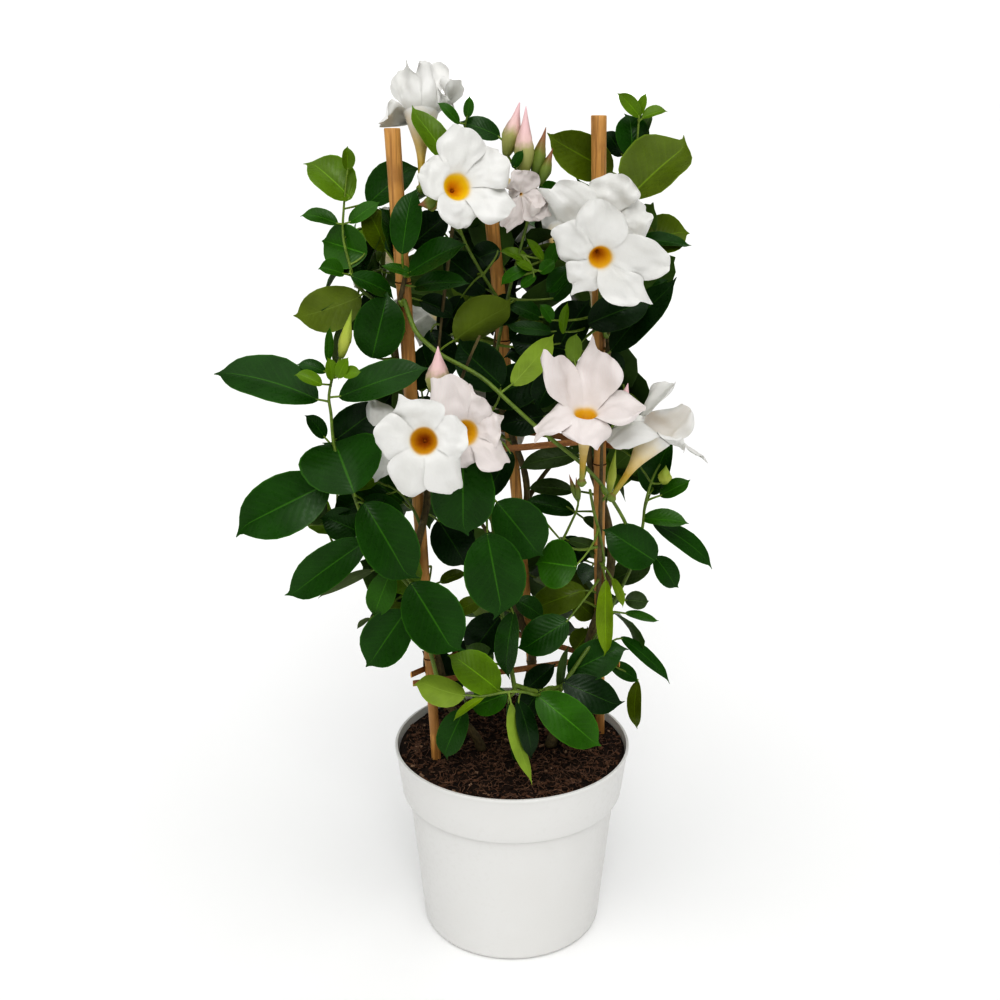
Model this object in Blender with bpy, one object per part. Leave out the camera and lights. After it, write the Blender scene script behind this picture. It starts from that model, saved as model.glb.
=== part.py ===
"""Potted mandevilla on a three-cane climbing frame, one solid for each named sub-part.

Metres, +Z up. The origin is the centre of the pot's flat underside. +X is to the plant's right
and -Y is its front. Stems and boughs are tapering tubes along smooth routes. Each mass of leaves
is one uneven solid that stays in its own cell between its neighbours and is cut round the canes,
rungs, stems and boughs that run through it.
"""

import math

import bmesh
import bpy
from mathutils import Vector, noise

# ---- driving dimensions -------------------------------------------------------------------
FIT_GAP = 0.0003        # clearance between pieces that touch
LEAF_GAP = 0.0006       # clearance of a leaf mass round a limb that runs through it
CELL_GAP = 0.0015       # half the clear space between two neighbouring leaf masses

MERGE_DISTANCE = 0.00001
FAR = 10.0              # beyond every reach of the plant
FLAT_ANGLE = math.radians(0.3)   # faces this close to one plane are joined after a cut

POT_RIM_R = 0.115
POT_HEIGHT = 0.1925
POT_FOOT_R = 0.0886     # where the foot's rounding meets the wall
POT_WALL = 0.0026
POT_BAND_HEIGHT = 0.0495
POT_BAND_STEP = 0.0065  # how far the rim band stands out from the wall under it
POT_TAPER = 0.0132      # how far the wall widens from the foot to the band
FOOT_ROUND = 0.006
FOOT_ROUND_STEPS = 3
FOOT_START = 1.4        # the wall starts to round this high, in shares of FOOT_ROUND
INNER_FOOT = (0.6, 0.8)  # the inner corner's inset and height, in shares of FOOT_ROUND
LIP_ROUND = 0.0012
LIP_HEIGHT = 0.0040
LIP_FLARE = 0.0008
POT_STEPS = 26
SOIL_STEPS = 20
SOIL_DEPTH_BELOW_RIM = 0.0105
SOIL_MOUND = 0.0030
RIPPLE_SCALE = 42.0
RIPPLE_HEIGHT = 0.0022
RIPPLE_FADE = 3.0       # ripples die out over the outer third of the soil
SOIL_RINGS = (0.78, 0.42)   # where the soil's top is shaped, as shares of its radius

CANE_TOP_R = 0.0068
CANE_FOOT_R = 0.0046
CANE_KNOTS = 3
CANE_JOINTS = 3.35      # joints' lengths between the soil and a cane's top
CANE_KNOT_SWELL = 1.13
CANE_KNOT_HALF = 0.004
CANE_SIDES = 8
CANE_CUTTER_SIDES = 6
CANE_CUT_PAST = 0.020   # how far a cutter runs past what it cuts

RUNG_THICK = 0.0020
RUNG_WIDTH = 0.0062
RUNG_OVERHANG = 0.019
RUNG_BOWS = {"low": 0.0012, "middle": 0.0040}
RUNG_STATIONS = 3
RUNG_LEVEL_STEP = 0.008  # the side rungs lie this far above and below the front one
RUNG_CORNERS = ((-0.5, -0.5), (0.5, -0.5), (0.5, 0.5), (-0.5, 0.5))  # shares of thickness, width

STEM_SIDES = 6
BOUGH_SIDES = 5
CUTTER_SIDES = 4
UPRIGHT = 0.5            # a limb that starts steeper than this has a level first cut
FLARE_HEIGHT = 0.014
FLARE_SWELL = 1.7
STEM_FOOT_LIFT = 0.0012  # keeps the flat cut clear of the highest soil under it
STEM_LEAN_STEPS = 4      # rings between the flare and the first touch of the cane

SOIL_Z = POT_HEIGHT - SOIL_DEPTH_BELOW_RIM

# Each cane leans from where it enters the soil to its top. Its foot is a height in the soil,
# and its first knot stands that share of a joint's length above the soil.
CANES = {
    "left": {"soil": (-0.073, -0.027), "top": (-0.101, -0.030, 0.773), "foot": 0.070, "knot": 0.63},
    "right": {"soil": (0.089, 0.026), "top": (0.0735, 0.022, 0.782), "foot": 0.147, "knot": 0.60},
    "back": {"soil": (0.026, 0.076), "top": (-0.024, 0.070, 0.742), "foot": 0.080, "knot": 0.36},
}

RUNG_HEIGHTS = {"low": 0.272, "middle": 0.494}
# Each rung joins two canes, some steps above or below the front one.
RUNG_SIDES = {
    "front": ("left", "right", 0),
    "left": ("back", "left", 1),
    "right": ("right", "back", -1),
}

# A main stem leaves the soil, leans to the inner side of its cane and winds up round it.
STEMS = {
    "left": {"foot": (-0.030, -0.014), "foot_r": 0.0052, "tip_r": 0.0022, "top": 0.655, "way": 1},
    "right": {"foot": (0.038, -0.004), "foot_r": 0.0056, "tip_r": 0.0022, "top": 0.672, "way": 1},
    "back": {"foot": (0.010, 0.034), "foot_r": 0.0048, "tip_r": 0.0021, "top": 0.640, "way": -1},
}
STEM_REACH_Z = 0.258     # where a stem first lies against its cane
STEM_HUG = 0.0012        # clear space between a stem's bark and its cane
WIND_RINGS_PER_TURN = 6

# Masses of leaves: centre, half sizes, how lumpy, and the noise seed.
MASSES = {
    "low_front": ((0.020, -0.086, 0.296), (0.070, 0.050, 0.082), 0.15, 3),
    "low_left": ((-0.084, -0.044, 0.350), (0.056, 0.066, 0.068), 0.13, 5),
    "low_right": ((0.108, 0.010, 0.320), (0.050, 0.072, 0.084), 0.13, 8),
    "low_back": ((0.018, 0.112, 0.300), (0.086, 0.060, 0.072), 0.14, 11),
    "far_left": ((-0.184, -0.020, 0.470), (0.070, 0.070, 0.100), 0.15, 14),
    "front_left": ((-0.076, -0.104, 0.460), (0.068, 0.056, 0.086), 0.14, 17),
    "front_right": ((0.074, -0.088, 0.548), (0.062, 0.056, 0.052), 0.12, 20),
    "right_side": ((0.128, -0.006, 0.458), (0.052, 0.076, 0.082), 0.13, 23),
    "back_left": ((-0.088, 0.118, 0.452), (0.082, 0.066, 0.096), 0.14, 26),
    "back_right": ((0.086, 0.122, 0.492), (0.078, 0.062, 0.080), 0.14, 29),
    "upper_left": ((-0.128, -0.006, 0.668), (0.052, 0.074, 0.094), 0.13, 32),
    "upper_front": ((-0.016, -0.088, 0.648), (0.064, 0.054, 0.076), 0.13, 35),
    "upper_right": ((0.104, -0.020, 0.654), (0.052, 0.076, 0.076), 0.12, 38),
    "upper_back": ((-0.004, 0.114, 0.640), (0.098, 0.070, 0.084), 0.14, 41),
    "top_left": ((-0.040, -0.016, 0.768), (0.066, 0.064, 0.058), 0.13, 44),
    "top_right": ((0.092, 0.010, 0.752), (0.058, 0.066, 0.048), 0.13, 47),
}
MASS_LEVELS = 3
RIM_CLEARANCE = 0.004    # leaves end this far above the rim
LUMP_SCALE = 1.9
LUMP_SEED_STEP = (3.7, 1.3)  # how far apart in the noise two seeds lie

# Each bough leaves a main stem near a height, where the stem faces its mass, and ends inside it.
BOUGHS = {
    "low_front": ("left", 0.228, 0.0026),
    "far_left": ("left", 0.400, 0.0031),
    "front_left": ("left", 0.400, 0.0028),
    "front_right": ("right", 0.430, 0.0027),
    "back_left": ("back", 0.400, 0.0028),
    "back_right": ("back", 0.430, 0.0028),
    "upper_front": ("left", 0.580, 0.0024),
    "top_left": ("left", 0.645, 0.0021),
    "top_right": ("right", 0.660, 0.0021),
}
BOUGH_TIP_SHARE = 0.45   # a bough's tip radius as a share of its foot radius
BOUGH_DEPTH = 0.030      # how far into its mass a bough reaches
BOUGH_RISE = 0.16        # how much a bough arches, as a share of its length
BOUGH_BEND = 0.45        # where along its length it arches
BOUGH_RINGS = 5
BOUGH_ROOM = 0.008       # a bough leaves its stem at least this far under the stem's tip

COLOURS = {
    "planter_plastic": ((0.80, 0.795, 0.775), 0.42),
    "potting_soil": ((0.035, 0.022, 0.014), 0.92),
    "bamboo": ((0.47, 0.24, 0.085), 0.50),
    "stem_bark": ((0.16, 0.13, 0.055), 0.70),
    "foliage": ((0.035, 0.105, 0.020), 0.40),
}


# ---- helpers ------------------------------------------------------------------------------
def clearScene():
    for thing in list(bpy.data.objects):
        bpy.data.objects.remove(thing, do_unlink=True)


def makeMaterial(name):
    colour, roughness = COLOURS[name]
    material = bpy.data.materials.get(name) or bpy.data.materials.new(name)
    material.use_nodes = True
    shader = material.node_tree.nodes["Principled BSDF"]
    shader.inputs["Base Color"].default_value = (*colour, 1.0)
    shader.inputs["Roughness"].default_value = roughness
    shader.inputs["Metallic"].default_value = 0.0
    return material


def addObject(name, bm, finish):
    """Turn a bmesh into a named object with its own finish."""
    bmesh.ops.recalc_face_normals(bm, faces=bm.faces)
    mesh = bpy.data.meshes.new(name)
    bm.to_mesh(mesh)
    bm.free()
    mesh.shade_smooth()
    thing = bpy.data.objects.new(name, mesh)
    bpy.context.scene.collection.objects.link(thing)
    mesh.materials.append(makeMaterial(finish))
    return thing


def sectionRing(bm, centre, across, up, radius, sides):
    ring = []
    for step in range(sides):
        angle = 2.0 * math.pi * step / sides
        offset = across * math.cos(angle) + up * math.sin(angle)
        ring.append(bm.verts.new(centre + offset * radius))
    return ring


def tubeAlong(route, radii, sides):
    """A closed tube whose section turns smoothly with its route."""
    bm = bmesh.new()
    rings = []
    across = Vector((1.0, 0.0, 0.0))
    for place, centre in enumerate(route):
        before = route[max(place - 1, 0)]
        after = route[min(place + 1, len(route) - 1)]
        along = (after - before).normalized()
        if place == 0 and abs(along.z) > UPRIGHT:
            along = Vector((0.0, 0.0, 1.0))
        across = (across - along * across.dot(along)).normalized()
        up = along.cross(across)
        rings.append(sectionRing(bm, centre, across, up, radii[place], sides))
    for lower, upper in zip(rings, rings[1:]):
        for step in range(sides):
            other = (step + 1) % sides
            bm.faces.new((lower[step], lower[other], upper[other], upper[step]))
    bm.faces.new(list(reversed(rings[0])))
    bm.faces.new(rings[-1])
    bmesh.ops.recalc_face_normals(bm, faces=bm.faces)
    return bm


def largestBody(bm):
    """Delete every loose island but the largest."""
    seen = set()
    islands = []
    for seed in bm.verts:
        if seed in seen:
            continue
        seen.add(seed)
        island = [seed]
        for vert in island:
            for edge in vert.link_edges:
                other = edge.other_vert(vert)
                if other not in seen:
                    seen.add(other)
                    island.append(other)
        islands.append(island)
    islands.sort(key=len, reverse=True)
    for island in islands[1:]:
        bmesh.ops.delete(bm, geom=island, context="VERTS")


def cutRound(thing, cutters):
    """Cut a solid round the given cutters and keep its largest body."""
    if not cutters:
        return
    for cutter in cutters:
        step = thing.modifiers.new("cut", "BOOLEAN")
        step.operation = "DIFFERENCE"
        step.solver = "EXACT"
        step.object = cutter
    graph = bpy.context.evaluated_depsgraph_get()
    graph.update()
    cut = bpy.data.meshes.new_from_object(thing.evaluated_get(graph))
    thing.modifiers.clear()
    bm = bmesh.new()
    bm.from_mesh(cut)
    largestBody(bm)
    bmesh.ops.dissolve_degenerate(bm, dist=MERGE_DISTANCE, edges=bm.edges)
    bmesh.ops.dissolve_limit(bm, angle_limit=FLAT_ANGLE, verts=bm.verts, edges=bm.edges)
    bmesh.ops.triangulate(bm, faces=bm.faces)
    bm.to_mesh(thing.data)
    bm.free()
    bpy.data.meshes.remove(cut)


def makeCutter(name, bm):
    cutter = addObject(name, bm, "stem_bark")
    cutter.hide_render = True
    cutter.display_type = "WIRE"
    return cutter


def boxesMeet(one, other):
    for axis in range(3):
        low = [min(v.co[axis] for v in thing.data.vertices) for thing in (one, other)]
        high = [max(v.co[axis] for v in thing.data.vertices) for thing in (one, other)]
        if low[0] > high[1] or low[1] > high[0]:
            return False
    return True


def smoothStep(share):
    share = min(max(share, 0.0), 1.0)
    return share * share * (3.0 - 2.0 * share)


# ---- pot and soil -------------------------------------------------------------------------
def potOuter():
    """The pot's outer side from the lip down to the underside, as (radius, height)."""
    bandFoot = POT_HEIGHT - POT_BAND_HEIGHT
    wallTop = POT_FOOT_R + POT_TAPER
    bandR = wallTop + POT_BAND_STEP
    points = [
        (POT_RIM_R - LIP_ROUND, POT_HEIGHT),
        (POT_RIM_R, POT_HEIGHT - LIP_ROUND),
        (POT_RIM_R - LIP_FLARE, POT_HEIGHT - LIP_HEIGHT),
        (bandR, bandFoot + LIP_HEIGHT),
        (bandR - LIP_ROUND * 2.0, bandFoot),
        (wallTop, bandFoot),
        (POT_FOOT_R, FOOT_ROUND * FOOT_START),
    ]
    for step in range(1, FOOT_ROUND_STEPS + 1):
        angle = math.pi / 2.0 * step / FOOT_ROUND_STEPS
        points.append((POT_FOOT_R - FOOT_ROUND * (1.0 - math.cos(angle)),
                       FOOT_ROUND * (1.0 - math.sin(angle))))
    points.append((0.0, 0.0))
    return points


def potInner():
    """The pot's inner side from the floor's centre up to the lip."""
    bandFoot = POT_HEIGHT - POT_BAND_HEIGHT
    wallTop = POT_FOOT_R + POT_TAPER - POT_WALL
    return [
        (0.0, POT_WALL),
        (POT_FOOT_R - POT_WALL - FOOT_ROUND * INNER_FOOT[0], POT_WALL),
        (POT_FOOT_R - POT_WALL, POT_WALL + FOOT_ROUND * INNER_FOOT[1]),
        (wallTop, bandFoot + LIP_ROUND),
        (wallTop + POT_BAND_STEP, bandFoot + LIP_HEIGHT),
        (POT_RIM_R - POT_WALL, POT_HEIGHT),
    ]


def innerRadiusAt(height):
    inner = potInner()
    for (lowR, lowZ), (highR, highZ) in zip(inner[2:], inner[3:]):
        if lowZ <= height <= highZ:
            return lowR + (highR - lowR) * (height - lowZ) / (highZ - lowZ)
    return inner[-1][0]


def turned(name, profile, finish):
    """Turn a profile, given from the inside round to the underside, about +Z."""
    mesh = bpy.data.meshes.new(name)
    points = [(radius, 0.0, height) for radius, height in profile]
    edges = [(place, place + 1) for place in range(len(points) - 1)]
    mesh.from_pydata(points, edges, [])
    thing = bpy.data.objects.new(name, mesh)
    bpy.context.scene.collection.objects.link(thing)
    mesh.materials.append(makeMaterial(finish))
    screw = thing.modifiers.new("turn", "SCREW")
    screw.axis = "Z"
    screw.steps = POT_STEPS
    screw.render_steps = POT_STEPS
    screw.use_merge_vertices = True
    screw.merge_threshold = MERGE_DISTANCE
    screw.use_smooth_shade = True
    return thing


def makePot():
    return turned("pot", potInner() + potOuter(), "planter_plastic")


def soilTop(x, y):
    """Height of the soil, a low uneven mound."""
    reach = math.hypot(x, y) / (POT_RIM_R - POT_WALL)
    mound = SOIL_MOUND * (1.0 - reach * reach)
    ripple = noise.noise(Vector((x, y, 0.0)) * RIPPLE_SCALE) * RIPPLE_HEIGHT
    return SOIL_Z + mound + ripple * min(1.0, RIPPLE_FADE * (1.0 - reach))


def makeSoil(sockets):
    """The root ball fills the pot and has a socket for each cane."""
    bm = bmesh.new()
    levels = [(innerRadiusAt(point[1]) - FIT_GAP, point[1]) for point in potInner()[2:5]]
    levels.insert(0, (potInner()[1][0] - FIT_GAP, POT_WALL + FIT_GAP))
    levels.append((innerRadiusAt(SOIL_Z) - 2.0 * FIT_GAP, SOIL_Z))
    across = Vector((1.0, 0.0, 0.0))
    up = Vector((0.0, 1.0, 0.0))
    rings = []
    for radius, height in levels:
        radius = radius * math.cos(math.pi / POT_STEPS)
        rings.append(sectionRing(bm, Vector((0.0, 0.0, height)), across, up, radius, SOIL_STEPS))
    topR = levels[-1][0]
    for share in SOIL_RINGS:
        ring = sectionRing(bm, Vector((0.0, 0.0, SOIL_Z)), across, up, topR * share, SOIL_STEPS)
        for vert in ring:
            vert.co.z = soilTop(vert.co.x, vert.co.y)
        rings.append(ring)
    for lower, upper in zip(rings, rings[1:]):
        for step in range(SOIL_STEPS):
            other = (step + 1) % SOIL_STEPS
            bm.faces.new((lower[step], lower[other], upper[other], upper[step]))
    bm.faces.new(list(reversed(rings[0])))
    middle = bm.verts.new((0.0, 0.0, soilTop(0.0, 0.0)))
    for step in range(SOIL_STEPS):
        bm.faces.new((rings[-1][step], rings[-1][(step + 1) % SOIL_STEPS], middle))
    soil = addObject("root_ball", bm, "potting_soil")
    cutRound(soil, sockets)
    return soil


# ---- climbing frame -----------------------------------------------------------------------
def canePoint(name, height):
    """The cane's axis at a height, carried down in line below the soil."""
    cane = CANES[name]
    foot = Vector((*cane["soil"], SOIL_Z))
    top = Vector(cane["top"])
    return foot.lerp(top, (height - foot.z) / (top.z - foot.z))


def caneRadius(name, height):
    top = CANES[name]["top"][2]
    share = min(max((height - SOIL_Z) / (top - SOIL_Z), 0.0), 1.0)
    return CANE_FOOT_R + (CANE_TOP_R - CANE_FOOT_R) * share


def caneStations(name):
    """Heights and radii along a cane, with a low ridge at each knot."""
    top = CANES[name]["top"][2]
    stations = [(CANES[name]["foot"], CANE_FOOT_R)]
    spacing = (top - SOIL_Z) / CANE_JOINTS
    for place in range(CANE_KNOTS):
        height = SOIL_Z + spacing * (place + CANES[name]["knot"])
        radius = caneRadius(name, height)
        stations.append((height - CANE_KNOT_HALF, radius))
        stations.append((height, radius * CANE_KNOT_SWELL))
        stations.append((height + CANE_KNOT_HALF, radius))
    stations.append((top, CANE_TOP_R))
    return stations


def makeCane(name):
    stations = caneStations(name)
    route = [canePoint(name, height) for height, _ in stations]
    radii = [radius for _, radius in stations]
    addObject("frame_cane_" + name, tubeAlong(route, radii, CANE_SIDES), "bamboo")


def makeCaneCutters(name):
    """One cutter fits the cane closely for the soil, the other clears its knots for the leaves."""
    foot = CANES[name]["foot"]
    top = CANES[name]["top"][2] + CANE_CUT_PAST
    ends = [canePoint(name, foot - FIT_GAP), canePoint(name, SOIL_Z + CANE_CUT_PAST)]
    radii = [CANE_FOOT_R + FIT_GAP, CANE_FOOT_R + FIT_GAP * 2.0]
    close = tubeAlong(ends, radii, CANE_SIDES)
    ends = [canePoint(name, foot), canePoint(name, top)]
    clear = CANE_KNOT_SWELL / math.cos(math.pi / CANE_CUTTER_SIDES)
    radii = [CANE_FOOT_R * clear + LEAF_GAP, CANE_TOP_R * clear + LEAF_GAP]
    wide = tubeAlong(ends, radii, CANE_CUTTER_SIDES)
    return makeCutter("socket_" + name, close), makeCutter("cutter_cane_" + name, wide)


def stripBetween(start, end, outward, over, grow, bow):
    """A flat split strip that runs past both canes and bows outwards between them."""
    bm = bmesh.new()
    up = Vector((0.0, 0.0, 1.0))
    thick = RUNG_THICK + grow * 2.0
    width = RUNG_WIDTH + grow * 2.0
    past = (over + grow) / (end - start).length
    shares = [-past] + [place / RUNG_STATIONS for place in range(RUNG_STATIONS + 1)] + [1.0 + past]
    rings = []
    for share in shares:
        bulge = max(math.sin(math.pi * share), 0.0) * bow
        centre = start + (end - start) * share + outward * bulge
        ring = []
        for side, lift in RUNG_CORNERS:
            ring.append(bm.verts.new(centre + outward * side * thick + up * lift * width))
        rings.append(ring)
    for near, far in zip(rings, rings[1:]):
        for step in range(len(RUNG_CORNERS)):
            other = (step + 1) % len(RUNG_CORNERS)
            bm.faces.new((near[step], near[other], far[other], far[step]))
    bm.faces.new(list(reversed(rings[0])))
    bm.faces.new(rings[-1])
    bmesh.ops.recalc_face_normals(bm, faces=bm.faces)
    return bm


def makeRung(level, side):
    """One split strip across the outside of two canes, and the cutter that clears it."""
    first, second, step = RUNG_SIDES[side]
    height = RUNG_HEIGHTS[level] + step * RUNG_LEVEL_STEP
    start = canePoint(first, height)
    end = canePoint(second, height)
    outward = (end - start).cross(Vector((0.0, 0.0, 1.0))).normalized()
    start += outward * (caneRadius(first, height) + FIT_GAP + RUNG_THICK / 2.0)
    end += outward * (caneRadius(second, height) + FIT_GAP + RUNG_THICK / 2.0)
    bow = RUNG_BOWS[level]
    name = "frame_rung_" + level + "_" + side
    addObject(name, stripBetween(start, end, outward, RUNG_OVERHANG, 0.0, bow), "bamboo")
    grown = stripBetween(start, end, outward, RUNG_OVERHANG, LEAF_GAP, bow)
    return makeCutter("cutter_" + name, grown)


def makeRungs():
    return [makeRung(level, side) for level in RUNG_HEIGHTS for side in RUNG_SIDES]


# ---- stems and boughs ---------------------------------------------------------------------
def innerAngle(name):
    """The direction from a cane to the middle of the frame."""
    middle = sum((canePoint(other, STEM_REACH_Z) for other in CANES), Vector()) / len(CANES)
    toward = middle - canePoint(name, STEM_REACH_Z)
    return math.atan2(toward.y, toward.x)


def windAngle(name, height):
    """One turn for each space between two levels of rungs, so a stem passes inside every rung."""
    rise = (height - RUNG_HEIGHTS["low"]) / (RUNG_HEIGHTS["middle"] - RUNG_HEIGHTS["low"])
    return innerAngle(name) + STEMS[name]["way"] * 2.0 * math.pi * rise


def facingHeight(name, target, wanted):
    """The height nearest to the wanted one at which a stem lies on the target's side."""
    if wanted < STEM_REACH_Z:
        return wanted
    pitch = RUNG_HEIGHTS["middle"] - RUNG_HEIGHTS["low"]
    toward = target - canePoint(name, wanted)
    turn = (math.atan2(toward.y, toward.x) - innerAngle(name)) * STEMS[name]["way"] / (2.0 * math.pi)
    heights = [RUNG_HEIGHTS["low"] + pitch * (turn + whole) for whole in (-1, 0, 1, 2)]
    fitting = [h for h in heights if STEM_REACH_Z < h < STEMS[name]["top"] - BOUGH_ROOM]
    return min(fitting, key=lambda height: abs(height - wanted))


def stemRadius(name, height):
    """Even taper from the flare at the soil to the tip."""
    stem = STEMS[name]
    share = (height - SOIL_Z) / (stem["top"] - SOIL_Z)
    plain = stem["foot_r"] + (stem["tip_r"] - stem["foot_r"]) * share
    flare = max(0.0, 1.0 - (height - SOIL_Z) / FLARE_HEIGHT)
    return plain * (1.0 + (FLARE_SWELL - 1.0) * flare * flare)


def windPoint(name, height):
    angle = windAngle(name, height)
    gap = caneRadius(name, height) * CANE_KNOT_SWELL + stemRadius(name, height) + STEM_HUG
    return canePoint(name, height) + Vector((math.cos(angle), math.sin(angle), 0.0)) * gap


def stemRoute(name):
    """From the soil to the cane, then winding round the cane, with a radius at each point."""
    foot = Vector((*STEMS[name]["foot"], 0.0))
    foot.z = soilTop(foot.x, foot.y) + STEM_FOOT_LIFT
    top = STEMS[name]["top"]
    arrive = windPoint(name, STEM_REACH_Z)
    heights = [foot.z, foot.z + FLARE_HEIGHT / 2.0, foot.z + FLARE_HEIGHT]
    spacing = (STEM_REACH_Z - heights[-1]) / STEM_LEAN_STEPS
    heights += [heights[-1] + spacing * step for step in range(1, STEM_LEAN_STEPS)]
    route = []
    for height in heights:
        drift = smoothStep((height - foot.z) / (STEM_REACH_Z - foot.z))
        point = foot.lerp(arrive, drift)
        point.z = height
        route.append(point)
    pitch = RUNG_HEIGHTS["middle"] - RUNG_HEIGHTS["low"]
    rings = round((top - STEM_REACH_Z) / pitch * WIND_RINGS_PER_TURN)
    for place in range(rings + 1):
        height = STEM_REACH_Z + (top - STEM_REACH_Z) * place / rings
        route.append(windPoint(name, height))
    return route, [stemRadius(name, point.z) for point in route]


def limbCutter(name, route, radii, limbSides, sides):
    """A cutter that clears a limb by the leaf gap. With fewer sides it is a little wider."""
    spread = 1.0 if sides == limbSides else 1.0 / math.cos(math.pi / sides)
    grown = [(radius + LEAF_GAP) * spread for radius in radii]
    longer = list(route)
    longer[-1] = route[-1] + (route[-1] - route[-2]).normalized() * LEAF_GAP
    return makeCutter(name, tubeAlong(longer, grown, sides))


def makeStem(name):
    route, radii = stemRoute(name)
    addObject("stem_" + name, tubeAlong(route, radii, STEM_SIDES), "stem_bark")
    close = limbCutter("socket_stem_" + name, route, radii, STEM_SIDES, STEM_SIDES)
    wide = limbCutter("cutter_stem_" + name, route, radii, STEM_SIDES, CUTTER_SIDES)
    return route, close, wide


def pointAtHeight(route, height):
    for lower, upper in zip(route, route[1:]):
        if lower.z <= height <= upper.z:
            return lower.lerp(upper, (height - lower.z) / (upper.z - lower.z))
    return route[-1].copy()


def massReach(half, direction):
    """How far an ellipsoid reaches from its centre in a direction."""
    return 1.0 / math.sqrt(sum((direction[axis] / half[axis]) ** 2 for axis in range(3)))


def boughRoute(mass, stemRoutes):
    """From a stem's middle, out past its cane, then arching into the mass it carries."""
    stemName, wanted, radius = BOUGHS[mass]
    centre = Vector(MASSES[mass][0])
    height = facingHeight(stemName, centre, wanted)
    start = pointAtHeight(stemRoutes[stemName], height)
    back = (start - centre).normalized()
    inside = max(massReach(MASSES[mass][1], back) - BOUGH_DEPTH, 0.0)
    end = centre + back * inside
    length = (end - start).length
    bend = start.lerp(end, BOUGH_BEND) + Vector((0.0, 0.0, length * BOUGH_RISE))
    route = []
    radii = []
    for place in range(BOUGH_RINGS):
        share = place / (BOUGH_RINGS - 1)
        route.append(start.lerp(bend, share).lerp(bend.lerp(end, share), share))
        radii.append(radius * (1.0 + (BOUGH_TIP_SHARE - 1.0) * share))
    return route, radii


def makeBough(mass, stemRoutes, blockers):
    route, radii = boughRoute(mass, stemRoutes)
    bough = addObject("bough_" + mass, tubeAlong(route, radii, BOUGH_SIDES), "stem_bark")
    cutRound(bough, [cutter for cutter in blockers if boxesMeet(bough, cutter)])
    return limbCutter("cutter_bough_" + mass, route, radii, BOUGH_SIDES, CUTTER_SIDES)


# ---- leaf masses --------------------------------------------------------------------------
def cellLimit(centre, direction, name):
    """How far a mass may reach in a direction before the clear space round its cell."""
    limit = FAR
    size = sum(MASSES[name][1]) / 3.0
    for other, (otherCentre, otherSize, _, _) in MASSES.items():
        if other == name:
            continue
        gap = Vector(otherCentre) - centre
        share = size / (size + sum(otherSize) / 3.0)
        facing = gap.normalized()
        wall = gap.length * share - CELL_GAP
        lean = direction.dot(facing)
        if lean > 0.0:
            limit = min(limit, wall / lean)
    return limit


def potLimit(centre, direction):
    """Leaves stay above the rim and the soil."""
    if direction.z >= 0.0:
        return FAR
    return (POT_HEIGHT + RIM_CLEARANCE - centre.z) / direction.z


def makeMass(name, cutters):
    centre, half, lump, seed = MASSES[name]
    centre = Vector(centre)
    shift = Vector((seed * LUMP_SEED_STEP[0], seed * LUMP_SEED_STEP[1], 0.0))
    bm = bmesh.new()
    bmesh.ops.create_icosphere(bm, subdivisions=MASS_LEVELS, radius=1.0)
    for vert in bm.verts:
        direction = vert.co.normalized()
        reach = massReach(half, direction)
        wave = noise.noise(direction * LUMP_SCALE + shift)
        reach *= 1.0 + lump * 2.0 * wave
        reach = min(reach, cellLimit(centre, direction, name), potLimit(centre, direction))
        vert.co = centre + direction * reach
    mass = addObject("leaves_" + name, bm, "foliage")
    cutRound(mass, [cutter for cutter in cutters if boxesMeet(mass, cutter)])


# ---- build --------------------------------------------------------------------------------
def buildPlant():
    clearScene()
    makePot()
    sockets = []
    caneCutters = []
    for name in CANES:
        makeCane(name)
        socket, cutter = makeCaneCutters(name)
        sockets.append(socket)
        caneCutters.append(cutter)
    makeSoil(sockets)
    frameCutters = caneCutters + makeRungs()
    stemRoutes = {}
    closeCutters = []
    stemCutters = []
    for name in STEMS:
        stemRoutes[name], close, wide = makeStem(name)
        closeCutters.append(close)
        stemCutters.append(wide)
    boughCutters = []
    for mass in BOUGHS:
        blockers = frameCutters + closeCutters + boughCutters
        boughCutters.append(makeBough(mass, stemRoutes, blockers))
    for mass in MASSES:
        makeMass(mass, frameCutters + stemCutters + boughCutters)


buildPlant()
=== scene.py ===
import math
import random

import bmesh
import bpy
import numpy as np
from mathutils import Matrix, Vector, noise
from mathutils.bvhtree import BVHTree


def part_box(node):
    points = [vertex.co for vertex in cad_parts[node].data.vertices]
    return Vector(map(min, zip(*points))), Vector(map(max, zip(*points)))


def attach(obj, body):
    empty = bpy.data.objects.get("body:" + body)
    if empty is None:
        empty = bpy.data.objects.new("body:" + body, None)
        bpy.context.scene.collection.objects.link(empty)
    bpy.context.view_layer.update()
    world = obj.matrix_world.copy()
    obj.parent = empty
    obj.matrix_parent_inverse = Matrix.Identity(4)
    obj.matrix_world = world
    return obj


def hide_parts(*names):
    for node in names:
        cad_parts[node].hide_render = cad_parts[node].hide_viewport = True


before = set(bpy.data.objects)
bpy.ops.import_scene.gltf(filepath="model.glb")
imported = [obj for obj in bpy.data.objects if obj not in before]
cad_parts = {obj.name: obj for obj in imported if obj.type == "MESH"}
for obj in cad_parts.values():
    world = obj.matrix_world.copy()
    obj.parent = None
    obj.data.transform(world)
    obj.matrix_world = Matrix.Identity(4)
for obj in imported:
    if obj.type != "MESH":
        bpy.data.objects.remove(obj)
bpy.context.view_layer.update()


# ---- camera ----
camera = {
    "place": (-0.01175, -1.138, 0.808),
    "tilt": 72.1,           # degrees, 90 looks level
    "lens": 46.4,
    "sensor": 36.0,
    "frame": 1000,          # the picture is this many points wide and high
}


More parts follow.
